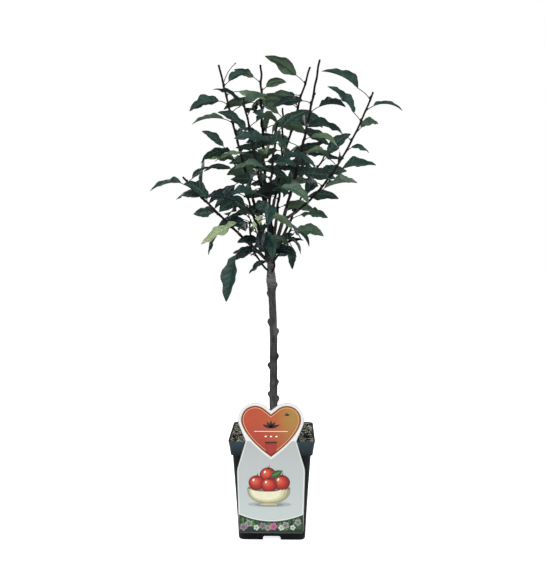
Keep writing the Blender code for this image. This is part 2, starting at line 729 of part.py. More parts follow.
def fuse_leaves(twig, leaves):
    """Joins the leaves to their twig, their stalks sunk in it."""
    helpers = new_collection(twig.name + "_leaves")
    for leaf in leaves:
        leaf_solid("leaf", leaf, helpers)
    boolean(twig, "UNION", collection=helpers)
    bpy.data.collections.remove(helpers)


def main():
    clear_scene()
    tree = new_collection("dwarf_apple_tree")
    cutters = new_collection("cutters")
    cutters.hide_render = True
    materials = make_materials()
    finish(make_pot(tree, cutters), materials["pot_plastic"], 30)
    finish(make_soil(tree), materials["soil"])
    finish(make_card(tree), materials["card"], 30)
    trunk = make_trunk(tree, cutters)
    boughs = [make_bough(shoot, tree, cutters) for shoot in SHOOTS if shoot.leafy[0] > 0]
    twigs = {shoot.name: make_twig(shoot, tree, cutters) for shoot in SHOOTS}
    taken = [limb_room(obj) for obj in [trunk, *boughs, *twigs.values()]]
    for shoot in SHOOTS:
        fuse_leaves(twigs[shoot.name], grow_leaves(shoot, taken))
    for obj in [trunk, *boughs]:
        finish(obj, materials["bark"])
    for obj in twigs.values():
        finish(obj, materials["leaf"])


if __name__ == "__main__":
    main()
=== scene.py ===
"""The looks of the dwarf apple tree in its pot.

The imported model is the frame. Its trunk and boughs get bark with relief. Its masses of foliage get
twigs, buds, stalks and veined leaves, which grow by the rule of the solids. The pot, the soil and
the card get their finer shapes. Metres, +Z up; the card is on the -Y side, which is the front.
"""

import json
import random
from collections import namedtuple
from math import acos, atan2, copysign, cos, exp, hypot, pi, radians, sin, tau

import bmesh
import bpy
from mathutils import Matrix, Vector, noise
from mathutils.bvhtree import BVHTree

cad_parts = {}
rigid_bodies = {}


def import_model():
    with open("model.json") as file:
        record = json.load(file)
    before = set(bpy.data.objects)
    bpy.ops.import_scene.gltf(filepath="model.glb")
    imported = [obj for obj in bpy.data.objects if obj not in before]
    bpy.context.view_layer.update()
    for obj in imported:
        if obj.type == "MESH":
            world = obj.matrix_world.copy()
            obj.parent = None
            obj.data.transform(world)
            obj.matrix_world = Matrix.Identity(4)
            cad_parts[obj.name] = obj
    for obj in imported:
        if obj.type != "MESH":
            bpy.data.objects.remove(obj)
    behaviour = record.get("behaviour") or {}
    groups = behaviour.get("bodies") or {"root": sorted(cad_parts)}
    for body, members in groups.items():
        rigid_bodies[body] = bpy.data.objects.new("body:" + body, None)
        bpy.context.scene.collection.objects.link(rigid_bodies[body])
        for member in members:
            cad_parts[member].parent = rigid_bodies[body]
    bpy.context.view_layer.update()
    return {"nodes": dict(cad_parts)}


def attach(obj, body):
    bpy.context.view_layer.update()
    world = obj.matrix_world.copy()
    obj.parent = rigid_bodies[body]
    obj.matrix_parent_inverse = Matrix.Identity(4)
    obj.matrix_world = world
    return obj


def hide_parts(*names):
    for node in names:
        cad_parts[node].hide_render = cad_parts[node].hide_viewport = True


# Camera
CAMERA_AT = (0.039, -1.7, 0.637)
CAMERA_DOWN = 3.317
CAMERA_LEFT = 1.278
CAMERA_LENS = 48.71

# Floor and lights: place, size and power of each light
FLOOR_REACH = 14
LIGHTS_AIM = (0, 0, 0.55)
LIGHTS = {
    "key": ((-1.0, -2.4, 2.5), 1.4, 84),
    "fill": ((2.2, -2.0, 1.3), 2.0, 28),
    "back_left": ((-2.0, 2.0, 2.3), 1.8, 46),
    "back_right": ((2.2, 2.0, 2.1), 1.8, 46),
}
WORLD_LIGHT = 0.22

# Pot
POT_HEIGHT = 0.2185
RIM_SIDE = 0.184
RIM_ROUND = 0.0014
COLLAR_HEIGHT = 0.032
COLLAR_FOOT_SIDE = 0.1745
COLLAR_FOOT_ROUND = 0.0008
COLLAR_BOW = 0.0006
BODY_TOP_SIDE = 0.1665
BODY_BOW = 0.001
BODY_RINGS = 12
BASE_SIDE = 0.143
POT_WALL = 0.0022
POT_FLOOR = 0.0115
POT_CORNER = 0.013
CORNER_STEPS = 10
FOOT_CHAMFER = 0.002
NOTCH_WIDTH = 0.038
NOTCH_HEIGHT = 0.009
NOTCH_DEPTH = 0.022
NOTCH_CORNER = 0.0054

# Soil: a pair of numbers is the least and the most
SOIL_TOP = 0.2125
SOIL_RELIEF = 0.0018
SOIL_LEVEL_RADIUS = 0.018
SOIL_LEVEL_EDGE = 0.068
SOIL_BROAD_WAVES = 88
SOIL_FINE_WAVES = 160
SOIL_REACH = 0.0866
CLEAR_OF_TRUNK = 0.0145
HEAP_FROM = 0.07
HEAP_REACH = 0.014
HEAP_HEIGHT = 0.0042
CHIPS = 2600
CHIP_LOOKS = {"chip_dark": 74, "chip_brown": 17, "chip_grey": 9}
CHIP_HALF_SIZES = ((0.0022, 0.0062), (0.0014, 0.0032), (0.0006, 0.0013))
CHIP_LIES = (0.0002, 0.0018)
FIBRES = 820
FIBRE_LENGTHS = (0.006, 0.022)
FIBRE_RADII = (0.0003, 0.00065)
FIBRE_LIES = (0.0008, 0.0022)
FIBRE_ARCH = 0.0012

# Card: half-widths, and heights above the ground
GAP = 0.0003
CARD_X = -0.001
CARD_THICKNESS = 0.0008
CARD_EDGE = 0.00018
CARD_BOTTOM = 0.0235
CARD_FOOT_HALF = 0.068
CARD_FOOT_CORNER = 0.003
CARD_SHOULDER_HALF = 0.0715
CARD_SHOULDER_Z = 0.16
CARD_SHOULDER_ROUND = 0.008
CARD_NECK_HALF = 0.0533
CARD_NECK_Z = 0.22
LOBE_RADIUS = 0.0361
LOBE_X = 0.0331
LOBE_Z = 0.2652
LOBE_STEPS = 40
CARD_CLEFT_Z = 0.285
HOOK_WIDTH = 0.022
HOOK_THICKNESS = 0.0008
HOOK_DROP = 0.0055

# The card's print: x from the card's middle, heights above the ground, and sizes
INK = 0.00004
HEART_LOBE_RADIUS = 0.0298
HEART_CLEFT_Z = 0.277
HEART_TIP_Z = 0.1864
HEART_SIDE_MEETS = -18
HEART_SIDE_PULL = 0.034
HEART_SIDE_STEPS = 16
HEART_RINGS = {"border": -0.004, "ring_soft": -0.0006, "ring": 0.0008, "ring_pale": 0.0036, "heart": 0.005}
SPRIG = (0.0, 0.2478)
SMALL_SPRIG = (0.0335, 0.274)
WHITE_LINE = (0.0, 0.2408, 0.07, 0.0011)
DOTS_X = (-0.0112, 0.0, 0.0112)
DOTS_Z = 0.23
# The slot is a dark bar, a painted shadow of the slit in the card. The tab's outline is a dark film, a
# painted shadow of its cut; TAB_FACE is the share that its face covers, the heart's red partly darkened as
# painted shade.
SLOT_SHADOW_BAR = (0.0, 0.2172, 0.0248, 0.0034)
TAB = ((-0.0118, 0.215), (0.0118, 0.215), (0.0108, 0.1985), (0.0, 0.1905), (-0.0108, 0.1985))
TAB_MIDDLE_Z = 0.204
TAB_FACE = 0.92
BOWL_X = -0.004
BOWL_Z = 0.113
BOWL_GROWS = 1.14
BOWL_RIM = (-0.0045, 0.119)
BOWL_HALF = 0.0398
BOWL_DEPTH = 0.029
BOWL_RIM_DIP = 0.006
APPLES = (
    (-0.006, 0.144, 0.0152, 5), (-0.027, 0.129, 0.015, 8), (0.019, 0.1295, 0.0158, 8),
    (-0.004, 0.125, 0.015, 13),
)
STRIP_EDGE_Z = 0.0485
STRIP_EDGE_RISE = 0.015
STRIP_INSET = 0.0004
STRIP_LEAVES = 64
STRIP_LEAF_LENGTH = 0.014
BLOSSOMS = ("mauve", "dim", "", "mauve", "dim", "pink", "", "dim", "", "dim")
BLOSSOMS_FROM = -0.0575
BLOSSOM_SPACING = 0.0128
BLOSSOM_SIZES = (0.0058, 0.0092)

# Trunk
TRUNK_TOP = 0.634
TRUNK_X = 0.0022
TRUNK_LEAN = 0.0067
TRUNK_LEAN_BACK = 0.002
LEAN_FROM = 0.42
LEAN_TO = 0.62
TRUNK_FOOT_RADIUS = 0.0085
TRUNK_TOP_RADIUS = 0.0067
ROOT_FLARE = 0.0028
ROOT_FLARE_REACH = 0.013
GRAFT_Z = 0.552
GRAFT_SWELL = 0.003
GRAFT_REACH = 0.02
STUB_FOOT_RADIUS = 0.0074
STUB_REACH = 0.0048
STUB_CLIMB = 0.45
STUB_TALL = 1.35
STUB_PROFILE = ((0.0, 1.0), (0.5, 0.9), (0.74, 0.62), (0.9, 0.46), (0.98, 0.36), (1.0, 0.22))
STUBS = (
    (0.287, "E"), (0.297, "W"), (0.321, "S"), (0.324, "E"), (0.345, "N"), (0.361, "W"), (0.382, "E"),
    (0.403, "N"), (0.422, "S"), (0.437, "E"), (0.458, "W"), (0.48, "N"), (0.521, "W"), (0.538, "E"),
)
TRUNK_RINGS = 90
BOUGH_RINGS = 34
BOUGH_COLLAR = 0.0008
BOUGH_COLLAR_REACH = 0.006
BARK_VOXEL = 0.00085
BARK_STANDS = 0.00075

# Limbs
LIMB_SIDES = 6
SPUR_BARE = 0.3
ZIGZAG = 0.0013
TWIG_SIDES = 12
TWIG_STEP = 0.0028
TWIG_STARTS = 0.012
NODE_SWELL = 0.2
NODE_REACH = 0.0022
BUD_LENGTH = 0.0058
BUD_RADIUS = 0.00145
BUD_PROFILE = ((0.0, 0.7), (0.25, 1.0), (0.5, 0.92), (0.75, 0.6), (0.93, 0.25), (1.0, 0.06))

# Leaves: a pair of numbers is the least and the most, and angles are in degrees
LEAF_LENGTH = 0.069
LEAF_SIZES = (0.88, 1.08)
LARGE_LEAF = 0.22
SMALL_LEAF = 0.32
LEAF_SLIMNESS = 0.46
LEAF_WIDTHS = (0.88, 1.1)
LEAF_RISE = 16
RAISED_LEAF = 34
HANGING_LEAF = 46
SWAY = 14
FALLS = (24, 72)
HANGING_FALL = 16
FOLDS = (12, 34)
TWISTS = (-30, 30)
RIPPLES = (0.05, 0.16)
ROLLS = (18, 62)
INWARD_ROLLS = 0.12
SHOWN_ROLL = 15
FRONT_TURN = -0.03
STALK_LENGTH = 0.024
STALK_LENGTHS = (0.75, 1.3)
STALK_CLIMB = 20
STALK_RADIUS = 0.0011
BLADE_STEPS = 5
ELBOW_ROOM = 0.0012
HEADINGS = {"E": 0, "NE": 45, "N": 90, "NW": 135, "W": 180, "SW": 225, "S": 270, "SE": 315}
SIDE_STEPS = (0, 18, -18, 36, -36, 54, -54)

# The finer leaf: its rows follow the side veins, its columns run along the midrib from edge to edge
VEIN_PAIRS = 8
VEIN_STEPS = (0.0, 0.07, 0.3, 0.54, 0.78)
VEIN_SLANT = 0.2
ROWS = [(pair + step) / VEIN_PAIRS for pair in range(VEIN_PAIRS) for step in VEIN_STEPS] + [1.0]
HALF_COLUMNS = (0.045, 0.17, 0.33, 0.5, 0.67, 0.84, 1.0)
COLUMNS = [-across for across in reversed(HALF_COLUMNS)] + list(HALF_COLUMNS)
LEAF_THICKNESS = 0.0005
RIB_STANDS = 0.0006
QUILT = 0.0007
TOOTH = 0.0007
WAVES = {"curl": (-0.15, 0.5), "ruffle": (0.07, 0.2), "beat": (1.5, 3.0), "phase": (0, tau),
         "lobes": (0.02, 0.09)}

# A shoot leaves its parent at join: a height on the trunk, a share of the length on another shoot.
# It runs through middle to tip, and is bare up to the share leafy[0] of its length. Its leaves are
# listed from its foot up, each with the side that it points to (S is the front). After that, ^ is a
# raised leaf, v a hanging one, + a large one and - a small one. A doubled mark works twice as much.
# ! is a leaf that shows its underside to the front.
Shoot = namedtuple("Shoot", "name parent join middle tip widths leafy leaves")
SHOOTS = (
    Shoot("centre", "trunk", 0.626, (-0.0205, 0.03, 0.828), (-0.0271, 0.055, 1.0305),
          (0.0076, 0.0046), (0.18, 0.92), "E W E S+ W NW Ev E+ N S+ W E E^- W^-"),
    Shoot("left", "trunk", 0.6, (-0.062, 0.015, 0.8), (-0.1188, 0.03, 1.0253),
          (0.007, 0.0044), (0.26, 0.92), "S E Wv E+ W W+ E N^- E- W E+ W E E^-"),
    Shoot("inner", "centre", 0.12, (-0.033, -0.02, 0.8), (-0.0611, -0.045, 0.9399),
          (0.0062, 0.0042), (0.22, 0.97), "SW S E W SE W^ NE^ N^ W^"),
    Shoot("right_back", "centre", 0.065, (0.0202, 0.045, 0.8084), (0.084, 0.1, 1.0357),
          (0.0064, 0.0044), (0.28, 0.95), "NE N W+ E^+ W W+ Ev NE W+ W- W^+"),
    Shoot("right", "trunk", 0.597, (0.0577, -0.025, 0.8131), (0.0998, -0.045, 1.0188),
          (0.0074, 0.0044), (0.26, 0.84), "W S E SW E W E S W SE W E^-"),
    Shoot("arching", "right", 0.2, (0.1252, -0.035, 0.7792), (0.2108, -0.06, 0.9484),
          (0.0056, 0.004), (0.16, 0.99), "E W S- E W^ N- E- W^+ E^- W^+ E W^+"),
    Shoot("low_left", "trunk", 0.59, (-0.1017, -0.02, 0.6833), (-0.1904, -0.04, 0.7752),
          (0.0062, 0.0042), (0.24, 0.97), "S Wv N W W^ W N^^ W E^-"),
    Shoot("back", "trunk", 0.602, (0.015, 0.1, 0.77), (0.0211, 0.17, 0.955),
          (0.0066, 0.0042), (0.26, 0.96), "E W N SE W N E W N E NW^"),
    Shoot("front", "trunk", 0.594, (-0.003, -0.09, 0.72), (0.0123, -0.15, 0.8736),
          (0.0064, 0.0042), (0.18, 0.96), "Wv Ev Sv+ W E S W E S W E^"),
    Shoot("back_right", "trunk", 0.588, (0.06, 0.09, 0.73), (0.12, 0.16, 0.84),
          (0.0058, 0.004), (0.28, 0.97), "E N E W N E N W E^"),
    Shoot("back_left", "trunk", 0.58, (-0.06, 0.08, 0.74), (-0.11, 0.15, 0.86),
          (0.0058, 0.004), (0.28, 0.97), "W N W E N W N E W^"),
    Shoot("low_front", "trunk", 0.578, (-0.02, -0.06, 0.65), (-0.05, -0.13, 0.71),
          (0.0052, 0.0038), (0.22, 0.97), "W- E- Sv Sv W E S E W"),
    Shoot("spur_left", "trunk", 0.57, (-0.04, -0.03, 0.62), (-0.045, -0.046, 0.685),
          (0.0046, 0.0034), (0.0, 0.99), "W- Wvv++ S SE^-! Wv!+"),
    Shoot("spur_right", "trunk", 0.583, (0.02, -0.012, 0.624), (0.04, -0.02, 0.666),
          (0.0044, 0.0034), (0.0, 0.97), "E-- SE-- SEvv- E Ev-"),
    Shoot("spur_front", "trunk", 0.566, (0.005, -0.03, 0.612), (-0.006, -0.05, 0.7),
          (0.0044, 0.0034), (0.0, 0.97), "Wv- SW E- SWv+ SEv+ Sv+"),
    Shoot("spur_back", "trunk", 0.568, (0.0000, 0.034, 0.6), (0.004, 0.058, 0.632),
          (0.0044, 0.0034), (0.0, 0.97), "N- NE- NW- N E^-"),
)
BOUGHS = [shoot for shoot in SHOOTS if shoot.leafy[0] > 0]
# The finer side twigs that only the scene has. They fill the crown within the reach of its masses.
FINE_SHOOTS = (
    Shoot("fine_back", "back", 0.18, (-0.01, 0.058, 0.695), (-0.02, 0.072, 0.735),
          (0.0032, 0.0022), (0.0, 0.97), "W N NW- N^"),
    Shoot("fine_back_left", "back_left", 0.18, (-0.039, 0.046, 0.664), (-0.056, 0.058, 0.7),
          (0.003, 0.002), (0.0, 0.97), "W N- NW W^"),
    Shoot("fine_fork_left", "low_left", 0.06, (-0.022, -0.024, 0.612), (-0.033, -0.038, 0.642),
          (0.003, 0.002), (0.0, 0.97), "W- S Wv- SW"),
    Shoot("fine_fork_right", "right", 0.05, (0.018, -0.018, 0.63), (0.029, -0.03, 0.656),
          (0.003, 0.002), (0.0, 0.97), "E- S E Sv-"),
    Shoot("fine_fork_front", "low_front", 0.12, (-0.012, -0.046, 0.606), (-0.016, -0.062, 0.63),
          (0.003, 0.002), (0.0, 0.97), "E S- W S-"),
    Shoot("fine_tip", "left", 0.91, (-0.099, 0.028, 1.008), (-0.084, 0.026, 1.026),
          (0.002, 0.0014), (0.0, 0.97), ""),
)
FINE_FREE_FROM = 0.35
SHOOT = {shoot.name: shoot for shoot in SHOOTS + FINE_SHOOTS}
LEAF_PIECES = {
    "leaves_tall": ("centre", "left", "inner", "right_back"),
    "leaves_side": ("right", "arching", "low_left"),
    "leaves_round": ("back", "front", "back_right", "back_left"),
    "leaves_low": ("low_front", "spur_left", "spur_right", "spur_front", "spur_back"),
    "leaves_fine": [shoot.name for shoot in FINE_SHOOTS],
}

# Skins of leaves: name, colour as a screen shows it (0 to 255), roughness, specular, spread of tone, whose
# lighter and darker patches are partly a painted sheen and shade
LEAF_LOOKS = (
    ("leaf_deep", (9, 27, 28), 0.44, 0.22, 0.55),
    ("leaf_mid", (34, 60, 55), 0.46, 0.26, 0.55),
    ("leaf_olive", (61, 84, 68), 0.48, 0.28, 0.5),
    ("leaf_fresh", (90, 112, 84), 0.5, 0.3, 0.45),
    ("leaf_turned", (61, 84, 68), 0.52, 0.35, 0.35),
    ("leaf_underside", (42, 64, 58), 0.75, 0.12, 0.3),
    ("leaf_underside_olive", (70, 90, 70), 0.75, 0.2, 0.25),
    ("leaf_underside_pale", (166, 186, 138), 0.75, 0.2, 0.18),
)
# Surfaces of nearly one colour: the same, and the fineness of their grain
PLAIN_LOOKS = (
    ("vein_dark", (42, 67, 60), 0.5, 0.25, 0.12, 900),
    ("vein_pale", (84, 106, 78), 0.5, 0.4, 0.12, 900),
    ("vein_underside", (80, 100, 84), 0.7, 0.2, 0.12, 900),
    ("vein_underside_pale", (222, 230, 200), 0.7, 0.2, 0.12, 900),
    ("leaf_stalk", (54, 54, 44), 0.6, 0.2, 0.3, 900),
    ("cut_wood", (84, 76, 66), 0.8, 0.1, 0.3, 500),
    ("bud_scales", (48, 42, 40), 0.8, 0.1, 0.3, 900),
    ("soil_dark", (26, 22, 20), 0.95, 0.05, 0.5, 300),
    ("chip_dark", (22, 21, 20), 0.92, 0.08, 0.45, 500),
    ("chip_brown", (84, 78, 69), 0.9, 0.08, 0.4, 500),
    ("chip_grey", (128, 128, 121), 0.9, 0.08, 0.35, 500),
    ("fibre_tan", (178, 174, 158), 0.88, 0.1, 0.3, 500),
    ("card_white", (164, 170, 168), 0.33, 0.4, 0.03, 900),
    ("print_border", (216, 221, 219), 0.33, 0.4, 0.02, 900),
)
INKS = {
    "ring_pale": (222, 160, 122), "ring_soft": (196, 140, 118), "ink_dark": (40, 26, 24),
    "slot_dark": (44, 16, 16), "tab_red": (158, 46, 38), "tab_edge": (104, 32, 30),
    "apple_1": (112, 20, 24), "apple_2": (150, 30, 30), "apple_3": (176, 44, 34),
    "apple_4": (192, 66, 44), "apple_5": (202, 92, 60), "inside": (112, 104, 84),
    "bowl_1": (150, 146, 118), "bowl_2": (182, 178, 144), "bowl_3": (206, 202, 168),
    "bowl_4": (222, 219, 190), "leaf_ink": (34, 78, 38), "leaf_ink_light": (72, 118, 56),
    "shadow_1": (160, 166, 167), "shadow_2": (132, 138, 140), "strip_green": (40, 84, 42),
    "strip_deep": (22, 42, 32), "strip_light": (82, 122, 66), "petal": (206, 208, 206),
    "petal_shade": (122, 130, 126), "petal_dim": (146, 150, 146), "petal_pink": (190, 104, 148),
    "pink_shade": (140, 50, 100), "petal_mauve": (138, 124, 138), "mauve_shade": (72, 62, 74),
    "anther": (126, 120, 84), "white_ink": (240, 241, 240), "brown_ink": (62, 44, 32),
}
HEART_UPPER = ((0.15, (178, 76, 48)), (0.52, (176, 92, 50)), (0.86, (164, 126, 62)))
HEART_LOWER = ((0.3, (164, 52, 42)), (0.8, (168, 86, 50)))
# For each top of a leaf: the looks of its veins, of its underside and of the veins there
LEAF_SIDES = {
    "leaf_deep": ("vein_dark", "leaf_underside", "vein_underside"),
    "leaf_mid": ("vein_dark", "leaf_underside", "vein_underside"),
    "leaf_olive": ("vein_pale", "leaf_underside_olive", "vein_underside"),
    "leaf_fresh": ("vein_pale", "leaf_underside_olive", "vein_underside"),
    "leaf_turned": ("vein_pale", "leaf_underside_pale", "vein_underside_pale"),
}
# How often a top has each tone low in the crown, and how much more often high in it. The deep tones low in
# the crown are partly a painted shade, where the crown shades its lower leaves.
TONES = {"leaf_deep": (0.56, -0.32), "leaf_mid": (0.34, 0.0), "leaf_olive": (0.08, 0.22),
         "leaf_fresh": (0.02, 0.11)}


# Looks

def srgb(red, green, blue):
    """A colour of 0 to 255 as a screen shows it, in the linear values that shaders take."""
    linear = []
    for value in (red / 255, green / 255, blue / 255):
        linear.append(value / 12.92 if value <= 0.04045 else ((value + 0.055) / 1.055) ** 2.4)
    return (*linear, 1.0)


def shade(colour, factor):
    return (*(channel * factor for channel in colour[:3]), 1.0)


class Look:
    """A material in the making, with its nodes."""

    def __init__(self, name, roughness, specular, **sockets):
        self.material = bpy.data.materials.new(name)
        self.material.use_nodes = True
        self.tree = self.material.node_tree
        self.shader = self.tree.nodes["Principled BSDF"]
        self.fill(Roughness=roughness, Specular_IOR_Level=specular, **sockets)
        self.place = self.node("TexCoord", output="Object")

    def plug(self, value, socket):
        """Gives a socket a number or a colour, or links another node's output to it."""
        if isinstance(value, bpy.types.NodeSocket):
            self.tree.links.new(value, socket)
        else:
            socket.default_value = value

    def fill(self, **values):
        """Fills sockets of the shader, by their names."""
        for name, value in values.items():
            self.plug(value, self.shader.inputs[name.replace("_", " ")])

    def node(self, kind, inputs=(), output=0, **settings):
        """Adds a node and returns one of its outputs."""
        made = self.tree.nodes.new("ShaderNode" + kind)
        for name, value in settings.items():
            setattr(made, name, value)
        for name, value in dict(inputs).items():
            self.plug(value, made.inputs[name])
        return made.outputs[output]

    def stretched(self, *scale):
        """The place on the object, with each axis scaled."""
        return self.node("Mapping", {"Vector": self.place, "Scale": scale})

    def noise(self, scale, detail=3.0, roughness=0.5, at=None):
        values = {"Vector": at or self.place, "Scale": scale, "Detail": detail, "Roughness": roughness}
        return self.node("TexNoise", values)

    def cells(self, scale, at=None):
        """Distance to the nearest of many scattered points."""
        return self.node("TexVoronoi", {"Vector": at or self.place, "Scale": scale})

    def along(self, axis, low, high):
        """Runs from 0 to 1 between two places along X, Y or Z."""
        place = self.node("SeparateXYZ", {"Vector": self.place}, axis)
        return self.node("MapRange", {"Value": place, "From Min": low, "From Max": high})

    def ramp(self, factor, *stops):
        """Colours along a factor. A plain number stands for a grey."""
        made = self.node("ValToRGB", {"Fac": factor})
        elements = made.node.color_ramp.elements
        while len(elements) < len(stops):
            elements.new(0.5)
        for element, (position, colour) in zip(elements, stops):
            element.position = position
            element.color = colour if isinstance(colour, tuple) else (colour, colour, colour, 1)
        return made

    def mix(self, factor, first, second, blend="MIX"):
        inputs = {0: factor, 6: first, 7: second}
        return self.node("Mix", inputs, 2, data_type="RGBA", blend_type=blend)

    def product(self, first, second):
        return self.node("Math", {0: first, 1: second}, operation="MULTIPLY")

    def gloss(self, factor, low, high):
        """Roughness that varies between two values."""
        self.fill(Roughness=self.node("MapRange", {"Value": factor, "To Min": low, "To Max": high}))

    def bump(self, height, distance, strength=1.0):
        """Fine relief, on top of the relief that the shader has already."""
        normal = self.shader.inputs["Normal"]
        values = {"Height": height, "Distance": distance, "Strength": strength}
        if normal.links:
            values["Normal"] = normal.links[0].from_socket
        self.plug(self.node("Bump", values), normal)


def leaf_look(name, colour, roughness, specular, spread):
    """A leaf's skin: cloudy tone, partly painted sheen and shade in its lighter and darker patches, a fine
    grain and a satin face.
    """
    look = Look(name, roughness, specular)
    tone = srgb(*colour)
    # The mottle's lighter and darker stops are partly leaf colour and partly a painted sheen and shade.
    stops = (0.28, shade(tone, 1 - spread)), (0.52, tone), (0.78, shade(tone, 1 + 1.2 * spread))
    look.fill(Base_Color=look.ramp(look.noise(42, 4, 0.6), *stops))
    look.gloss(look.noise(120, 2), roughness - 0.1, roughness + 0.1)
    look.bump(look.noise(700, 2), 0.0003, 0.5)
    look.bump(look.cells(420), 0.0003, 0.35)


def plain_look(name, colour, roughness, specular, spread, grain=900):
    """A surface of nearly one colour, faintly mottled, with a fine grain."""
    look = Look(name, roughness, specular)
    tone = srgb(*colour)
    stops = (0.3, shade(tone, 1 - spread)), (0.7, shade(tone, 1 + spread))
    look.fill(Base_Color=look.ramp(look.noise(90, 3), *stops))
    look.gloss(look.noise(160, 2), roughness - 0.05, roughness + 0.07)
    look.bump(look.noise(grain, 2), 0.0001, 0.35)


def bark_look(name, dark, pale, graft=None):
    """Young bark: dark, with lighter patches, fine lengthwise cracks and pale pores."""
    look = Look(name, 0.85, 0.1)
    patches = look.noise(55, 5, 0.62, look.stretched(1.0, 1.0, 0.35))
    colour = look.ramp(patches, (0.34, dark), (0.56, shade(pale, 0.62)), (0.74, pale))
    if graft:
        rise = look.along("Z", GRAFT_Z - 0.018, GRAFT_Z + 0.002)
        fall = look.along("Z", GRAFT_Z + 0.055, GRAFT_Z + 0.03)
        bands = look.noise(1.0, 3, 0.6, look.stretched(70.0, 70.0, 420.0))
        bands = look.ramp(bands, (0.38, 0.08), (0.6, 0.85))
        colour = look.mix(look.product(look.product(rise, fall), bands), colour, graft)
    pores = look.cells(1.0, look.stretched(420.0, 420.0, 760.0))
    colour = look.mix(look.ramp(pores, (0.13, 0.55), (0.22, 0)), colour, shade(pale, 1.7))
    cracks = look.noise(1.0, 4, 0.65, look.stretched(640.0, 640.0, 90.0))
    colour = look.mix(look.ramp(cracks, (0.3, 0.55), (0.5, 0)), colour, shade(dark, 0.45))
    look.fill(Base_Color=colour)
    look.gloss(patches, 0.75, 0.95)
    look.bump(cracks, 0.0006, 0.8)
    look.bump(look.noise(420, 3), 0.0003, 0.6)


def pot_look():
    """Moulded charcoal plastic: darker below the collar, a painted shade on the body under the collar's
    overhang, with faint pale vertical streaks, pale specks and a grain.
    """
    look = Look("pot_charcoal", 0.42, 0.14)
    mottle = look.noise(26, 5, 0.6)
    # The near-black body and the lighter collar are one plastic: the body's darkness is a painted shade
    # below the collar.
    body = look.ramp(mottle, (0.3, srgb(8, 13, 17)), (0.7, srgb(15, 22, 27)))
    collar = look.ramp(mottle, (0.3, srgb(40, 56, 64)), (0.7, srgb(53, 70, 79)))
    colour = look.mix(look.along("Z", POT_HEIGHT - COLLAR_HEIGHT - 0.004, POT_HEIGHT), body, collar)
    # Faint pale streaks that run up and down the pot.
    pale_streaks = look.noise(1.0, 4, 0.6, look.stretched(150.0, 150.0, 12.0))
    colour = look.mix(look.ramp(pale_streaks, (0.56, 0), (0.78, 0.22)), colour, srgb(62, 68, 70))
    colour = look.mix(look.ramp(look.cells(260), (0.05, 0.4), (0.1, 0)), colour, srgb(84, 84, 78))
    look.fill(Base_Color=colour)
    look.gloss(look.noise(38, 4), 0.3, 0.55)
    look.bump(look.noise(1500, 2), 0.00008, 0.5)
    look.bump(pale_streaks, 0.0002, 0.25)


def finish_print(look, colour, grain, least):
    """Finishes a printed colour: faintly worn, on smooth plastic."""
    worn = look.ramp(grain, (0.3, least), (0.7, 1))
    look.fill(Base_Color=look.mix(1.0, colour, worn, "MULTIPLY"))
    look.gloss(look.noise(40, 3), 0.28, 0.42)
    look.bump(grain, 0.00003, 0.3)


def heart_look(name, factor):
    """The heart's print, or its darker ring: orange-red on the left and below, gold on the right."""
    look = Look(name, 0.34, 0.4)
    across = look.along("X", CARD_X - 0.04, CARD_X + 0.055)
    upper = look.ramp(across, *((place, shade(srgb(*tone), factor)) for place, tone in HEART_UPPER))
    lower = look.ramp(across, *((place, shade(srgb(*tone), factor)) for place, tone in HEART_LOWER))
    finish_print(look, look.mix(look.along("Z", 0.195, 0.262), lower, upper), look.noise(700, 2), 0.85)


def panel_look():
    """The print's pale panel, a little lighter and cooler towards its foot."""
    look = Look("print_panel", 0.33, 0.4)
    height = look.along("Z", 0.06, 0.22)
    faded = look.ramp(height, (0.0, srgb(188, 199, 197)), (1.0, srgb(172, 176, 176)))
    finish_print(look, faded, look.noise(500, 3), 0.97)


def make_looks():
    """Every material of the plant, the pot and the card."""
    for row in LEAF_LOOKS:
        leaf_look(*row)
    for row in PLAIN_LOOKS:
        plain_look(*row)
    for ink, colour in INKS.items():
        plain_look("print_" + ink, colour, 0.35, 0.45, 0.07)
    bark_look("bark_trunk", srgb(26, 26, 27), srgb(94, 94, 93), srgb(128, 129, 127))
    bark_look("bark_young", srgb(14, 12, 14), srgb(38, 34, 35))
    pot_look()
    heart_look("print_heart", 1.0)
    heart_look("print_ring", 0.3)
    panel_look()


# Pieces

def linked(name, data):
    """An object of the scene with its data."""
    obj = bpy.data.objects.new(name, data)
    bpy.context.scene.collection.objects.link(obj)
    return obj


def placed(obj, slot, *replaced):
    """Rides on the only body, and in place of the nodes that it stands for. The slot is not used."""
    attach(obj, "root")
    if replaced:
        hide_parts(*replaced)


def dress(obj, look, sharp=None):
    """Gives an object one look, and smooth faces that meet in edges where they turn sharply."""
    obj.data.materials.clear()
    obj.data.materials.append(bpy.data.materials[look])
    obj.data.shade_smooth()
    if sharp:
        obj.data.set_sharp_from_angle(angle=radians(sharp))


def apply_modifiers(obj):
    bpy.context.view_layer.update()
    graph = bpy.context.evaluated_depsgraph_get()
    mesh = bpy.data.meshes.new_from_object(obj.evaluated_get(graph))
    obj.modifiers.clear()
    obj.data = mesh


def object_from(bm, name):
    """A mesh object made from a bmesh, faces outwards. The bmesh is freed."""
    bmesh.ops.recalc_face_normals(bm, faces=bm.faces)
    if bm.calc_volume(signed=True) < 0:
        bmesh.ops.reverse_faces(bm, faces=bm.faces)
    mesh = bpy.data.meshes.new(name)
    bm.to_mesh(mesh)
    bm.free()
    return linked(name, mesh)


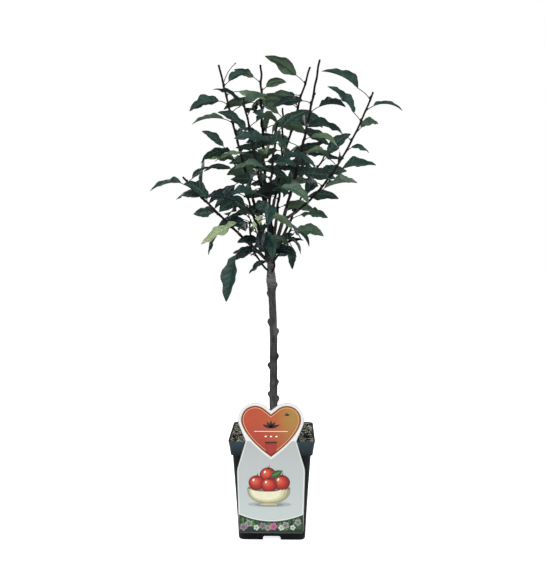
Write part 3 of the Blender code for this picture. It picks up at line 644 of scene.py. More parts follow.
class Piece:
    """A piece in the making: points, faces, and the look of each face."""

    def __init__(self, name, slot, *replaced):
        self.name, self.slot, self.replaced = name, slot, replaced
        self.points, self.faces, self.looks = [], [], []

    def add(self, points, faces, look):
        """Faces of one look, or of several where look is a list with one for each face."""
        start = len(self.points)
        self.points += points
        self.faces += [[start + corner for corner in face] for face in faces]
        self.looks += [look] * len(faces) if isinstance(look, str) else look

    def make(self, sharp):
        mesh = bpy.data.meshes.new(self.name)
        mesh.from_pydata(self.points, [], self.faces)
        used = list(dict.fromkeys(self.looks))
        for look in used:
            mesh.materials.append(bpy.data.materials[look])
        mesh.polygons.foreach_set("material_index", [used.index(look) for look in self.looks])
        mesh.shade_smooth()
        mesh.set_sharp_from_angle(angle=radians(sharp))
        placed(linked(self.name, mesh), self.slot, *self.replaced)


def sweep(points, radii, sides):
    """Points and faces of a closed round limb through the points."""
    ring_points, faces = [], []
    side = None
    for i, point in enumerate(points):
        run = (points[min(i + 1, len(points) - 1)] - points[max(i - 1, 0)]).normalized()
        side = run.orthogonal() if side is None else side
        side = (side - run * side.dot(run)).normalized()
        other = run.cross(side)
        for step in range(sides):
            angle = tau * step / sides
            ring_points.append(point + radii[i] * (side * cos(angle) + other * sin(angle)))
    for i in range(len(points) - 1):
        for step in range(sides):
            low, next_low = i * sides + step, i * sides + (step + 1) % sides
            faces.append([low, next_low, next_low + sides, low + sides])
    faces.append(list(range(sides))[::-1])
    faces.append(list(range((len(points) - 1) * sides, len(points) * sides)))
    return ring_points, faces


def prism(back, front):
    """Points and faces of a flat body between two outlines."""
    count = len(back)
    faces = [list(range(count))[::-1], list(range(count, 2 * count))]
    faces += [[i, (i + 1) % count, count + (i + 1) % count, count + i] for i in range(count)]
    return back + front, faces


def smooth(share):
    """Rises from 0 to 1 with level ends."""
    share = min(max(share, 0.0), 1.0)
    return share * share * (3 - 2 * share)


def curve(foot, pull, tip, share):
    """A point on the curve from foot to tip that bends towards pull."""
    return foot * (1 - share) ** 2 + pull * 2 * share * (1 - share) + tip * share ** 2


def compass(side, up=0.0):
    """The direction of a side such as NE, tilted upwards."""
    angle = radians(HEADINGS[side])
    return Vector((cos(angle), sin(angle), up))


# The rule of the solids, written again

def trunk_axis(z):
    """The trunk's middle at a height: upright, then leaning a little to the left."""
    lean = smooth((z - LEAN_FROM) / (LEAN_TO - LEAN_FROM))
    return Vector((TRUNK_X - TRUNK_LEAN * lean, TRUNK_LEAN_BACK * lean, z))


def trunk_radius(z):
    """A slight taper, a flare at the soil and the swelling of the graft."""
    foot = SOIL_TOP + GAP
    share = (z - foot) / (TRUNK_TOP - foot)
    taper = TRUNK_FOOT_RADIUS + (TRUNK_TOP_RADIUS - TRUNK_FOOT_RADIUS) * share
    flare = ROOT_FLARE * exp(-(z - foot) / ROOT_FLARE_REACH)
    graft = GRAFT_SWELL * exp(-((z - GRAFT_Z) / GRAFT_REACH) ** 2)
    return taper + flare + graft


def foot_of(shoot):
    if shoot.parent == "trunk":
        return trunk_axis(shoot.join)
    return along(SHOOT[shoot.parent], shoot.join)


def along(shoot, share):
    """A point on a shoot, which bends evenly from foot to tip and turns a little at each leaf."""
    foot, middle, tip = foot_of(shoot), Vector(shoot.middle), Vector(shoot.tip)
    point = curve(foot, 2 * middle - (foot + tip) / 2, tip, share)
    start, end = shoot.leafy
    if share > start:
        turns = len(shoot.leaves.split()) * (share - start) / (end - start)
        sideways = (tip - foot).cross(Vector((0, 0, 1))).normalized()
        point += sideways * ZIGZAG * sin(pi * turns)
    return point


def heading_along(shoot, share):
    step = 0.02
    return (along(shoot, min(share + step, 1)) - along(shoot, share - step)).normalized()


def leaf_shares(shoot):
    """Where on a shoot its leaves stand, as shares of its length."""
    count = len(shoot.leaves.split())
    start, end = shoot.leafy
    start = max(start, SPUR_BARE)
    return [start + (end - start) * (i + 0.5) / count for i in range(count)]


def width_along(shoot, share):
    """Half the shoot's thickness."""
    wide, narrow = shoot.widths
    return (wide + (narrow - wide) * share) / 2


def side_of(mark):
    """The side that a leaf points to, without the marks after it."""
    return mark.rstrip("^v+-!")


class Leaf:
    """One leaf: its stalk leaves the twig at joint, and its blade arches over and folds along its rib."""

    def __init__(self, shoot, share, mark, chance, turn):
        self.mark = mark
        heading = radians(HEADINGS[side_of(mark)] + SWAY * chance.uniform(-1, 1) + turn)
        size = 1.0 + LARGE_LEAF * mark.count("+") - SMALL_LEAF * mark.count("-")
        size *= chance.uniform(*LEAF_SIZES)
        self.length = LEAF_LENGTH * size
        self.half_width = self.length * LEAF_SLIMNESS * chance.uniform(*LEAF_WIDTHS) / 2
        rise = LEAF_RISE + RAISED_LEAF * mark.count("^") - HANGING_LEAF * mark.count("v")
        self.rise = radians(rise + SWAY * chance.uniform(-1, 1))
        self.fall = radians(chance.uniform(*FALLS) - HANGING_FALL * mark.count("v"))
        self.fold = radians(chance.uniform(*FOLDS))
        self.twist = radians(chance.uniform(*TWISTS))
        self.ripple = chance.uniform(*RIPPLES)
        self.phase = chance.uniform(0, tau)
        self.out = Vector((cos(heading), sin(heading), 0.0))
        self.across = Vector((-sin(heading), cos(heading), 0.0))
        self.joint = along(shoot, share)
        self.growth = heading_along(shoot, share)
        stalk = STALK_LENGTH * size * chance.uniform(*STALK_LENGTHS)
        climb = self.rise / 2 + radians(STALK_CLIMB)
        self.base = self.joint + stalk * (self.out * cos(climb) + Vector((0, 0, sin(climb))))
        roll = chance.uniform(*ROLLS) * (-1 if chance.random() < INWARD_ROLLS else 1)
        if "!" in mark:
            roll = -roll - SHOWN_ROLL
        outward = Vector((self.joint.x, self.joint.y + FRONT_TURN, 0.0))
        self.roll = radians(roll) * (1 if self.across.dot(outward) < 0 else -1)

    def rib(self, share):
        """A point on the midrib, which bends down evenly."""
        now = self.rise - self.fall * share
        forward = (sin(self.rise) - sin(now)) / self.fall
        upward = (cos(now) - cos(self.rise)) / self.fall
        return self.base + self.length * (self.out * forward + Vector((0, 0, upward)))

    def breadth(self, share):
        """Half the blade's width: egg-shaped, with a drawn-out tip."""
        swell = max(sin(pi * share ** 0.82), 0.0) ** 0.9
        return self.half_width * swell * (1.06 - 0.16 * share) + 0.3 * STALK_RADIUS

    def spot(self, share, across, lift):
        """A point of the blade: across runs from -1 to 1 over its width, lift stands off its face."""
        now = self.rise - self.fall * share
        roll = self.roll + self.twist * (share - 0.3)
        normal = Vector((0, 0, cos(now))) - self.out * sin(now)
        flat = self.across * cos(roll) + normal * sin(roll)
        over = normal * cos(roll) - self.across * sin(roll)
        reach = self.breadth(share)
        ripple = self.ripple * sin(9 * share + self.phase)
        height = abs(across) * reach * (sin(self.fold) + ripple) + lift
        return self.rib(share) + flat * across * reach * cos(self.fold) + over * height

    def stalk(self, share):
        """A point on the stalk, which leaves the twig steeply and ends in the blade's rib."""
        reach = (self.base - self.joint).length
        pull = self.joint + self.growth * 0.4 * reach + self.out * 0.35 * reach
        return curve(self.joint, pull, self.base, share)


def elbow_room(leaf):
    """The space that a leaf needs for itself: its blade and the outer half of its stalk, thickened."""
    bm = bmesh.new()
    bmesh.ops.create_grid(bm, x_segments=2, y_segments=BLADE_STEPS, size=1.0)
    doubled = bmesh.ops.extrude_face_region(bm, geom=bm.faces[:], use_keep_orig=True)["geom"]
    upper = {item for item in doubled if isinstance(item, bmesh.types.BMVert)}
    for vert in bm.verts:
        lift = ELBOW_ROOM if vert in upper else -ELBOW_ROOM
        vert.co = leaf.spot((vert.co.y + 1) / 2, vert.co.x * 1.05, lift)
    start, end = leaf.stalk(0.4), leaf.stalk(1.0)
    run = end - start
    place = Matrix.Translation((start + end) / 2) @ run.to_track_quat("Z", "Y").to_matrix().to_4x4()
    radius = STALK_RADIUS + ELBOW_ROOM
    bmesh.ops.create_cone(bm, cap_ends=True, segments=4, radius1=radius, radius2=radius,
                          depth=run.length, matrix=place)
    tree = BVHTree.FromBMesh(bm)
    bm.free()
    return tree


def limb_room(name):
    mesh = frame["nodes"][name].data
    return BVHTree.FromPolygons([v.co for v in mesh.vertices], [p.vertices for p in mesh.polygons])


def twig_room(shoot, shares, spare=0.0):
    """The space of a twig without its leaves, through some of its points."""
    radii = [width_along(shoot, share) + spare for share in shares]
    return BVHTree.FromPolygons(*sweep([along(shoot, share) for share in shares], radii, LIMB_SIDES))


def grow_leaves(shoot, taken):
    """The leaves of a shoot. One that would touch a limb or another leaf is turned aside, or skipped."""
    grown = []
    for index, (share, mark) in enumerate(zip(leaf_shares(shoot), shoot.leaves.split())):
        for turn in SIDE_STEPS:
            leaf = Leaf(shoot, share, mark, random.Random(f"{shoot.name} {index}"), turn)
            room = elbow_room(leaf)
            if not any(room.overlap(other) for other in taken):
                taken.append(room)
                grown.append(leaf)
                break
    return grown


def grow_crown():
    """The leaves of every shoot: the shoots of the solids first, then the finer ones."""
    taken = [limb_room("trunk")] + [limb_room("bough_" + shoot.name) for shoot in BOUGHS]
    taken += [twig_room(shoot, [shoot.leafy[0], *leaf_shares(shoot), 1.0]) for shoot in SHOOTS]
    grown = {shoot.name: grow_leaves(shoot, taken) for shoot in SHOOTS}
    for shoot in FINE_SHOOTS:
        taken.append(twig_room(shoot, [FINE_FREE_FROM, (1 + FINE_FREE_FROM) / 2, 1.0], ELBOW_ROOM / 2))
        grown[shoot.name] = grow_leaves(shoot, taken)
    return grown


# The finer plant

def blade_point(leaf, wave, index, across, face):
    """A point of the finer blade. The face is 1 above, -1 below and 0 at the margin."""
    row = ROWS[index]
    side = abs(across)
    share = 0.995 * min(row + VEIN_SLANT * side ** 1.2 * sin(pi * row), 1.0)
    between = (row * VEIN_PAIRS) % 1.0
    ends = min(1.0, (1 - row) / 0.15, row / 0.08)
    puff = QUILT * sin(pi * between) ** 0.7 * (1 - side ** 4) * min(1.0, side / 0.2) * ends
    curl = wave["curl"] * leaf.breadth(share) * side ** 3
    hand = 1 if across > 0 else 2
    turn = wave["beat"] * tau * share + wave["phase"] * hand
    ruffle = wave["ruffle"] * leaf.breadth(share) * side ** 2 * (sin(turn) + 0.4 * sin(2.3 * turn))
    across *= 1 - wave["lobes"] * side ** 2 * (1 + sin(1.3 * turn + 1.0))
    lift = puff - curl + ruffle + face * LEAF_THICKNESS / 2
    if side < 0.1:
        lift -= RIB_STANDS * (0.35 if face > 0 else 1.0) * (1 - 0.75 * row)
    if side == 1.0 and 0 < row < 1:
        across *= 1 + TOOTH * (index % 2) / max(leaf.breadth(share), TOOTH)
    return leaf.spot(share, across, lift)


def add_leaf(piece, leaf, tone, chance):
    """A veined blade with a toothed, waved margin, on its stalk."""
    wave = {name: chance.uniform(*ends) for name, ends in WAVES.items()}
    last = len(COLUMNS) - 1
    points, upper, lower = [], [], []
    for index in range(len(ROWS)):
        upper.append([])
        lower.append([])
        for number, across in enumerate(COLUMNS):
            upper[-1].append(len(points))
            for face in (0,) if number in (0, last) else (1, -1):
                points.append(blade_point(leaf, wave, index, across, face))
            lower[-1].append(len(points) - 1)
    vein, under, under_vein = LEAF_SIDES[tone]
    middle = len(COLUMNS) // 2 - 1
    faces, looks = [], []
    for i in range(len(ROWS) - 1):
        for j in range(last):
            marked = j == middle or (i % len(VEIN_STEPS) == 0 and 0 < j < last - 1)
            faces.append([upper[i][j], upper[i][j + 1], upper[i + 1][j + 1], upper[i + 1][j]])
            faces.append([lower[i][j], lower[i + 1][j], lower[i + 1][j + 1], lower[i][j + 1]])
            looks += [vein, under_vein] if marked else [tone, under]
    for ends in ((upper[0], lower[0]), (lower[-1], upper[-1])):
        faces.append(ends[1] + ends[0][-2:0:-1])
        looks.append(vein)
    piece.add(points, faces, looks)
    stalk_points = [leaf.stalk(share / 9) for share in range(10)] + [leaf.rib(0.03)]
    radii = [STALK_RADIUS * (1.35 - 0.5 * smooth(share / 3)) for share in range(10)]
    piece.add(*sweep(stalk_points, radii + [0.5 * STALK_RADIUS], 7), "leaf_stalk")


def tone_of(leaf, chance):
    """Deep tones mostly low in the crown, partly a painted shade where the crown shades its lower leaves;
    olive and fresh ones mostly high in it.
    """
    if "!" in leaf.mark:
        return "leaf_turned"
    height = smooth((leaf.joint.z - 0.6) / 0.35)
    weights = {tone: low + more * height for tone, (low, more) in TONES.items()}
    pick = chance.random() * sum(weights.values())
    for tone, weight in weights.items():
        pick -= weight
        if pick <= 0:
            return tone
    return "leaf_mid"


def add_bud(piece, point, direction, out, radius, chance):
    """A pointed bud, pressed against the twig above a leaf's stalk."""
    length = BUD_LENGTH * chance.uniform(0.8, 1.25)
    lean = (direction + 0.28 * out).normalized()
    foot = point + out * radius * 0.85
    points = [foot + lean * length * share for share, _ in BUD_PROFILE]
    piece.add(*sweep(points, [BUD_RADIUS * width for _, width in BUD_PROFILE], 8), "bud_scales")


def add_twig(piece, shoot):
    """The leafy stretch of a shoot, thicker at each node, with its cut end."""
    start = shoot.leafy[0]
    length = (Vector(shoot.tip) - along(shoot, start)).length
    steps = max(12, int(length / TWIG_STEP))
    joints = leaf_shares(shoot)
    first = start - TWIG_STARTS if start > 0 else 0.02
    points, radii = [], []
    for step in range(steps + 1):
        share = first + (1 - first) * step / steps
        nearest = min((abs(share - joint) for joint in joints), default=1.0) * length / (1 - start)
        swell = NODE_SWELL * exp(-(nearest / NODE_REACH) ** 2)
        wobble = 0.05 * noise.noise(Vector((step * 0.31, shoot.join * 900, 0.5)))
        points.append(along(shoot, share))
        radii.append(width_along(shoot, share) * (1 + swell + wobble))
    body, faces = sweep(points, radii, TWIG_SIDES)
    for index, point in enumerate(body):
        centre = points[index // TWIG_SIDES]
        body[index] = point + (point - centre).normalized() * 0.00018 * noise.noise(point * 900)
    piece.add(body, faces[:-1], "bark_young")
    piece.add(body[-TWIG_SIDES:], [list(range(TWIG_SIDES))], "cut_wood")


def add_buds(piece, shoot):
    """A bud above each leaf, and one at the end of a twig that has none."""
    if not shoot.leaves:
        chance = random.Random("bud " + shoot.name)
        add_bud(piece, Vector(shoot.tip), heading_along(shoot, 1.0), Vector((0, 0, 0)), 0.0, chance)
    for index, (share, mark) in enumerate(zip(leaf_shares(shoot), shoot.leaves.split())):
        chance = random.Random(f"bud {shoot.name} {index}")
        growth = heading_along(shoot, share)
        out = compass(side_of(mark))
        out = (out - growth * out.dot(growth)).normalized()
        place = along(shoot, share) + growth * NODE_REACH
        add_bud(piece, place, growth, out, width_along(shoot, share), chance)


def make_foliage():
    """All leaves, and the twigs that carry them."""
    grown = grow_crown()
    for name, shoots in LEAF_PIECES.items():
        masses = ["foliage_" + shoot for shoot in shoots if not shoot.startswith("fine")]
        piece = Piece(name, "foliage", *masses)
        for shoot in shoots:
            for index, leaf in enumerate(grown[shoot]):
                chance = random.Random(f"fine {shoot} {index}")
                add_leaf(piece, leaf, tone_of(leaf, chance), chance)
        piece.make(70)
    twigs = Piece("twigs", "bark", *("foliage_" + shoot.name for shoot in SHOOTS))
    for shoot in SHOOTS + FINE_SHOOTS:
        add_twig(twigs, shoot)
        add_buds(twigs, shoot)
    twigs.make(40)


def stub(z, side):
    """What is left of a pruned side shoot: a rounded knob, taller than it is wide."""
    chance = random.Random(f"stub {z}")
    size = chance.uniform(0.85, 1.08) * STUB_FOOT_RADIUS
    length = trunk_radius(z) + STUB_REACH * chance.uniform(0.8, 1.15)
    middle = trunk_axis(z)
    out = compass(side, STUB_CLIMB).normalized()
    points = [middle + out * length * share for share, _ in STUB_PROFILE]
    knob, faces = sweep(points, [size * width for _, width in STUB_PROFILE], 16)
    for point in knob:
        point.z = middle.z + STUB_TALL * (point.z - middle.z)
    return knob, faces


def bough(shoot):
    """The bare stretch of a shoot, with a collar where it leaves its parent."""
    end = shoot.leafy[0]
    shares = [end * i / BOUGH_RINGS for i in range(BOUGH_RINGS + 1)]
    length = (along(shoot, end) - along(shoot, 0)).length
    radii = []
    for share in shares:
        past = max(share / end * length - BOUGH_COLLAR_REACH, 0) / BOUGH_COLLAR_REACH
        radii.append(width_along(shoot, share) + BOUGH_COLLAR * exp(-past ** 2))
    return sweep([along(shoot, share) for share in shares], radii, 16)


def bark_relief(point):
    """How far the bark stands out at a point: broad swellings, lengthwise folds and a rough graft."""
    broad = 0.0004 * noise.noise(point * 70)
    folds = 0.00022 * noise.noise(Vector((point.x * 420, point.y * 420, point.z * 60)))
    fine = 0.0001 * noise.noise(point * 900)
    at_graft = exp(-((point.z - GRAFT_Z) / 0.014) ** 2)
    knots = 0.0016 * at_graft * noise.noise(point * 190)
    lip = 0.0009 * exp(-((point.z - GRAFT_Z + 0.018) / 0.0024) ** 2)
    return broad + folds + fine + knots + lip


def make_bark():
    """The trunk and its boughs in one skin, with collars where the boughs leave it and rounded stubs."""
    raw = Piece("bark", "bark", "trunk", *("bough_" + shoot.name for shoot in BOUGHS))
    foot = SOIL_TOP + GAP
    heights = [foot + (TRUNK_TOP - foot) * i / TRUNK_RINGS for i in range(TRUNK_RINGS + 1)]
    raw.add(*sweep([trunk_axis(z) for z in heights], [trunk_radius(z) for z in heights], 40), "bark_trunk")
    for z, side in STUBS:
        raw.add(*stub(z, side), "bark_trunk")
    for shoot in BOUGHS:
        raw.add(*bough(shoot), "bark_trunk")
    mesh = bpy.data.meshes.new("bark")
    mesh.from_pydata(raw.points, [], raw.faces)
    obj = linked("bark", mesh)
    skin = obj.modifiers.new("skin", "REMESH")
    skin.mode = "VOXEL"
    skin.voxel_size = BARK_VOXEL
    rounded = obj.modifiers.new("rounded", "SMOOTH")
    rounded.factor = 0.5
    rounded.iterations = 4
    apply_modifiers(obj)
    vertices = obj.data.vertices
    moved = [v.co + v.normal * (bark_relief(v.co) + BARK_STANDS) for v in vertices]
    for vertex, point in zip(vertices, moved):
        point.z = max(point.z, foot)
        vertex.co = point
    dress(obj, "bark_trunk")
    placed(obj, raw.slot, *raw.replaced)


# The pot

def square_ring(bm, side, corner, z):
    """A level square loop of vertices with rounded corners."""
    ring = []
    reach = side / 2 - corner
    for quarter in range(4):
        middle = radians(45 + 90 * quarter)
        x = copysign(reach, cos(middle))
        y = copysign(reach, sin(middle))
        for step in range(CORNER_STEPS + 1):
            angle = radians(90 * quarter + 90 * step / CORNER_STEPS)
            ring.append(bm.verts.new((x + corner * cos(angle), y + corner * sin(angle), z)))
    return ring


def pot_profile():
    """Side and height of each ring of the pot, from its underside round the rim to its inner floor."""
    collar_z = POT_HEIGHT - COLLAR_HEIGHT
    wall = 2 * POT_WALL
    body = collar_z - 0.001 - FOOT_CHAMFER
    collar = COLLAR_HEIGHT - COLLAR_FOOT_ROUND - RIM_ROUND
    rings = [(BASE_SIDE - 2 * FOOT_CHAMFER, 0.0), (BASE_SIDE - FOOT_CHAMFER * 0.8, 0.0005),
             (BASE_SIDE, FOOT_CHAMFER)]
    for share in (step / BODY_RINGS for step in range(1, BODY_RINGS + 1)):
        side = BASE_SIDE + (BODY_TOP_SIDE - BASE_SIDE) * share - BODY_BOW * sin(pi * share)
        rings.append((side, FOOT_CHAMFER + body * share))
    rings += [(BODY_TOP_SIDE + 0.0012, collar_z - 0.0002), (COLLAR_FOOT_SIDE - 0.001, collar_z),
              (COLLAR_FOOT_SIDE, collar_z + COLLAR_FOOT_ROUND)]
    for share in (0.25, 0.5, 0.75, 1.0):
        side = COLLAR_FOOT_SIDE + (RIM_SIDE - COLLAR_FOOT_SIDE) * share - COLLAR_BOW * sin(pi * share)
        rings.append((side, collar_z + COLLAR_FOOT_ROUND + collar * share))
    for inward, below in ((0.0002, 0.6), (0.001, 0.15), (wall / 2, 0.0), (wall - 0.0008, 0.15), (wall, 0.6)):
        rings.append((RIM_SIDE - inward, POT_HEIGHT - below * RIM_ROUND))
    floor_side = BASE_SIDE + (BODY_TOP_SIDE - BASE_SIDE) * POT_FLOOR / collar_z
    rings += [(COLLAR_FOOT_SIDE - wall, collar_z + POT_WALL),
              (BODY_TOP_SIDE - wall, collar_z + POT_WALL / 2), (floor_side - wall, POT_FLOOR)]
    return rings


def drain_notch(quarter):
    """The arched block that cuts a notch into the foot of one side."""
    bm = bmesh.new()
    bmesh.ops.create_cube(bm, size=1.0)
    bmesh.ops.scale(bm, vec=(NOTCH_WIDTH, 2 * NOTCH_DEPTH, 2 * NOTCH_HEIGHT), verts=bm.verts)
    upper = []
    for edge in bm.edges:
        first, second = edge.verts
        if first.co.z > 0 and second.co.z > 0 and first.co.x == second.co.x:
            upper.append(edge)
    bmesh.ops.bevel(bm, geom=upper, offset=NOTCH_CORNER, segments=8, profile=0.5, affect="EDGES")
    turned = Matrix.Rotation(radians(90 * quarter), 4, "Z")
    bmesh.ops.transform(bm, matrix=turned @ Matrix.Translation((0, -BASE_SIDE / 2, 0)), verts=bm.verts)
    return object_from(bm, "notch")


def make_pot():
    """The square pot with its bowed sides, rolled rim and arched drain notches."""
    bm = bmesh.new()
    rings = []
    profile = pot_profile()
    outer = profile.index(max(profile))
    for number, (side, z) in enumerate(profile):
        corner = POT_CORNER if number <= outer + 2 else POT_CORNER - POT_WALL
        rings.append(square_ring(bm, side, corner, z))
    for low, high in zip(rings, rings[1:]):
        for i in range(len(low)):
            j = (i + 1) % len(low)
            bm.faces.new((low[i], low[j], high[j], high[i]))
    bm.faces.new(rings[0])
    bm.faces.new(rings[-1])
    pot = object_from(bm, "nursery_pot")
    for quarter in range(4):
        notch = drain_notch(quarter)
        cut = pot.modifiers.new("notch", "BOOLEAN")
        cut.operation = "DIFFERENCE"
        cut.object = notch
        apply_modifiers(pot)
        bpy.data.objects.remove(notch, do_unlink=True)
    dress(pot, "pot_charcoal", 35)
    placed(pot, "pot_plastic", "pot")


# The soil

def soil_height(x, y):
    """Uneven soil, level where the trunk stands on it and along the pot's wall."""
    from_trunk = smooth(hypot(x, y) / SOIL_LEVEL_RADIUS - 1)
    to_wall = smooth((max(abs(x), abs(y)) - SOIL_LEVEL_EDGE) / SOIL_LEVEL_RADIUS)
    broad = sin(SOIL_BROAD_WAVES * x + 0.6) * cos(SOIL_BROAD_WAVES * y)
    fine = sin(SOIL_FINE_WAVES * (x + y)) / 2
    return SOIL_TOP + SOIL_RELIEF * from_trunk * (1 - to_wall) * (broad + fine)


def soil_spot(chance):
    """A place on the soil, clear of the trunk and the wall."""
    while True:
        x = chance.uniform(-SOIL_REACH, SOIL_REACH)
        y = chance.uniform(-SOIL_REACH, SOIL_REACH)
        if hypot(x, y) > CLEAR_OF_TRUNK:
            return Vector((x, y, soil_height(x, y)))


def heaped(spot):
    """How much higher chips and fibres lie: they fill up to the rim along the wall."""
    return HEAP_HEIGHT * smooth((max(abs(spot.x), abs(spot.y)) - HEAP_FROM) / HEAP_REACH)


def clear_of_wall(point):
    """Keeps a point of the soil inside the pot's wall."""
    limit = SOIL_REACH + 0.0012
    return Vector((min(max(point.x, -limit), limit), min(max(point.y, -limit), limit), point.z))


def add_chip(piece, chance, look):
    """A split piece of bark: a lopsided slab with eight corners."""
    size = Vector([chance.uniform(*ends) for ends in CHIP_HALF_SIZES])
    turn = Matrix.Rotation(chance.uniform(0, tau), 3, "Z")
    turn = turn @ Matrix.Rotation(radians(chance.gauss(0, 16)), 3, "X")
    turn = turn @ Matrix.Rotation(radians(chance.gauss(0, 14)), 3, "Y")
    centre = soil_spot(chance)
    centre.z += chance.uniform(*CHIP_LIES) + heaped(centre) * chance.random()
    points = []
    for z in (-1, 1):
        for x, y in ((-1, -1), (1, -1), (1, 1), (-1, 1)):
            corner = Vector((x * size.x * chance.uniform(0.6, 1.1), y * size.y * chance.uniform(0.5, 1.1),
                             z * size.z * chance.uniform(0.6, 1.2)))
            points.append(clear_of_wall(centre + turn @ corner))
    piece.add(*prism(points[:4], points[4:]), look)


def add_fibre(piece, chance):
    """A curved strand of coir that lies on the soil."""
    start = soil_spot(chance)
    start.z += chance.uniform(*FIBRE_LIES)
    heading = chance.uniform(0, tau)
    length = chance.uniform(*FIBRE_LENGTHS)
    bend = chance.uniform(-1.6, 1.6)
    points = []
    shares = [step / 6 for step in range(7)]
    for share in shares:
        angle = heading + bend * share
        here = start + Vector((cos(angle), sin(angle), 0)) * length * share
        here.z = soil_height(here.x, here.y) + start.z - soil_height(start.x, start.y)
        here.z += FIBRE_ARCH * sin(pi * share) + 0.8 * heaped(here)
        points.append(clear_of_wall(here))
    thick = chance.uniform(*FIBRE_RADII)
    piece.add(*sweep(points, [thick * (0.6 + 0.4 * sin(pi * share)) for share in shares], 4), "fibre_tan")


def make_soil():
    """The block of soil keeps its solid, under bark chips and fibres."""
    soil = frame["nodes"]["soil"]
    soil.data.materials.clear()
    soil.data.materials.append(bpy.data.materials["soil_dark"])
    chance = random.Random("soil")
    chips = Piece("bark_chips", "soil")
    for _ in range(CHIPS):
        look = chance.choices(list(CHIP_LOOKS), CHIP_LOOKS.values())[0]
        add_chip(chips, chance, look)
    chips.make(20)
    fibres = Piece("coir_fibres", "soil")
    for _ in range(FIBRES):
        add_fibre(fibres, chance)
    fibres.make(60)


# The card's outlines, as points (x, z)

def lobe(radius, low, cleft_z):
    """The right lobe's arc, from where it leaves the line up from low to where it meets the cleft's."""
    to_low = atan2(low[1] - LOBE_Z, low[0] - LOBE_X)
    leaves_at = to_low + acos(radius / hypot(low[0] - LOBE_X, low[1] - LOBE_Z))
    to_cleft = atan2(cleft_z - LOBE_Z, -LOBE_X)
    starts_at = to_cleft - acos(radius / hypot(cleft_z - LOBE_Z, LOBE_X))
    angles = [leaves_at + (starts_at - leaves_at) * step / LOBE_STEPS for step in range(LOBE_STEPS + 1)]
    return [(LOBE_X + radius * cos(angle), LOBE_Z + radius * sin(angle)) for angle in angles]


def mirrored(half, middle):
    """A whole outline from its right half, closed over the point in the middle."""
    return half + [middle] + [(-x, z) for x, z in reversed(half)]


def card_outline(inset=0.0):
    """The card's outline: the panel with sloping shoulders, and the heart's two lobes above it."""
    foot, corner, turn = CARD_FOOT_HALF - inset, CARD_FOOT_CORNER, CARD_SHOULDER_ROUND
    shoulder, neck = CARD_SHOULDER_HALF - inset, CARD_NECK_HALF - inset
    low, cleft = CARD_BOTTOM + inset, CARD_CLEFT_Z - 1.3 * inset
    side = [(foot - corner, low), (foot - 0.3 * corner, low + 0.3 * corner), (foot, low + corner),
            (shoulder, CARD_SHOULDER_Z - turn), (shoulder - turn / 20, CARD_SHOULDER_Z),
            (shoulder - turn / 3.6, CARD_SHOULDER_Z + turn * 0.9), (neck, CARD_NECK_Z)]
    return mirrored(side + lobe(LOBE_RADIUS - inset, (neck, CARD_NECK_Z), cleft), (0.0, cleft))


def heart(inset):
    """The printed heart's outline, drawn in by an inset: a tip, bowed sides and two lobes."""
    radius = HEART_LOBE_RADIUS - inset
    cleft = HEART_CLEFT_Z - 1.3 * inset
    start = radians(HEART_SIDE_MEETS)
    joint = Vector((LOBE_X + radius * cos(start), LOBE_Z + radius * sin(start)))
    tip = Vector((0.0, HEART_TIP_Z + 1.3 * inset))
    pull = joint + HEART_SIDE_PULL * Vector((sin(start), -cos(start)))
    side = [tuple(curve(tip, pull, joint, step / HEART_SIDE_STEPS)) for step in range(1, HEART_SIDE_STEPS)]
    upper = [point for point in lobe(radius, tip, cleft) if point[1] > joint.y]
    return [tuple(tip)] + mirrored(side + upper, (0.0, cleft))


def turned(x, z, turn, outline):
    """An outline round 0, 0, turned by an angle in degrees and moved to x, z."""
    along_x, along_z = cos(radians(turn)), sin(radians(turn))
    return [(x + u * along_x - v * along_z, z + u * along_z + v * along_x) for u, v in outline]


def disc(x, z, width, height=None, turn=0.0, steps=28):
    """An oval's outline."""
    angles = [tau * step / steps for step in range(steps)]
    return turned(x, z, turn, [(width * cos(angle), (height or width) * sin(angle)) for angle in angles])


def blade(x, z, length, width, turn):
    """A pointed leaf's outline from its foot at x, z."""
    sides = [(length * i / 8, width * sin(pi * (i / 8) ** 0.85)) for i in range(9)]
    return turned(x, z, turn, sides + [(u, -v) for u, v in reversed(sides[1:-1])])


def bar(x, z, width, height):
    return [(x - width / 2, z - height / 2), (x + width / 2, z - height / 2),
            (x + width / 2, z + height / 2), (x - width / 2, z + height / 2)]


def half_disc(x, z, width, height, dip):
    """A bowl's side: round below, with a rim that dips a little."""
    under = [(x + width * cos(radians(a)), z - height * sin(radians(a)) ** 0.75) for a in range(0, 181, 9)]
    return under + [(x - width * cos(radians(a)), z - dip * sin(radians(a))) for a in range(18, 180, 18)]


def strip_top(x):
    """The panel's lower edge, which hangs lowest in the middle."""
    return STRIP_EDGE_Z + STRIP_EDGE_RISE * (x / CARD_FOOT_HALF) ** 2


# The card's print

class Print:
    """What is printed on the card: thin films, each a layer higher where it lies over another."""

    def __init__(self):
        self.piece = Piece("card_print", "card")
        self.face = -RIM_SIDE / 2 - GAP - CARD_THICKNESS

    def film(self, outline, layer, look):
        area = sum(a[0] * b[1] - b[0] * a[1] for a, b in zip(outline, outline[1:] + outline[:1]))
        outline = outline if area > 0 else outline[::-1]
        back = [Vector((x + CARD_X, self.face, z)) for x, z in outline]
        front = [point + Vector((0, -INK * layer, 0)) for point in back]
        self.piece.add(*prism(back, front), "print_" + look)


def print_sprig(card, x, z, length, width, turns):
    """A fan of pointed leaves."""
    for turn in turns:
        card.film(blade(x, z, length, width, turn), 8, "ink_dark")


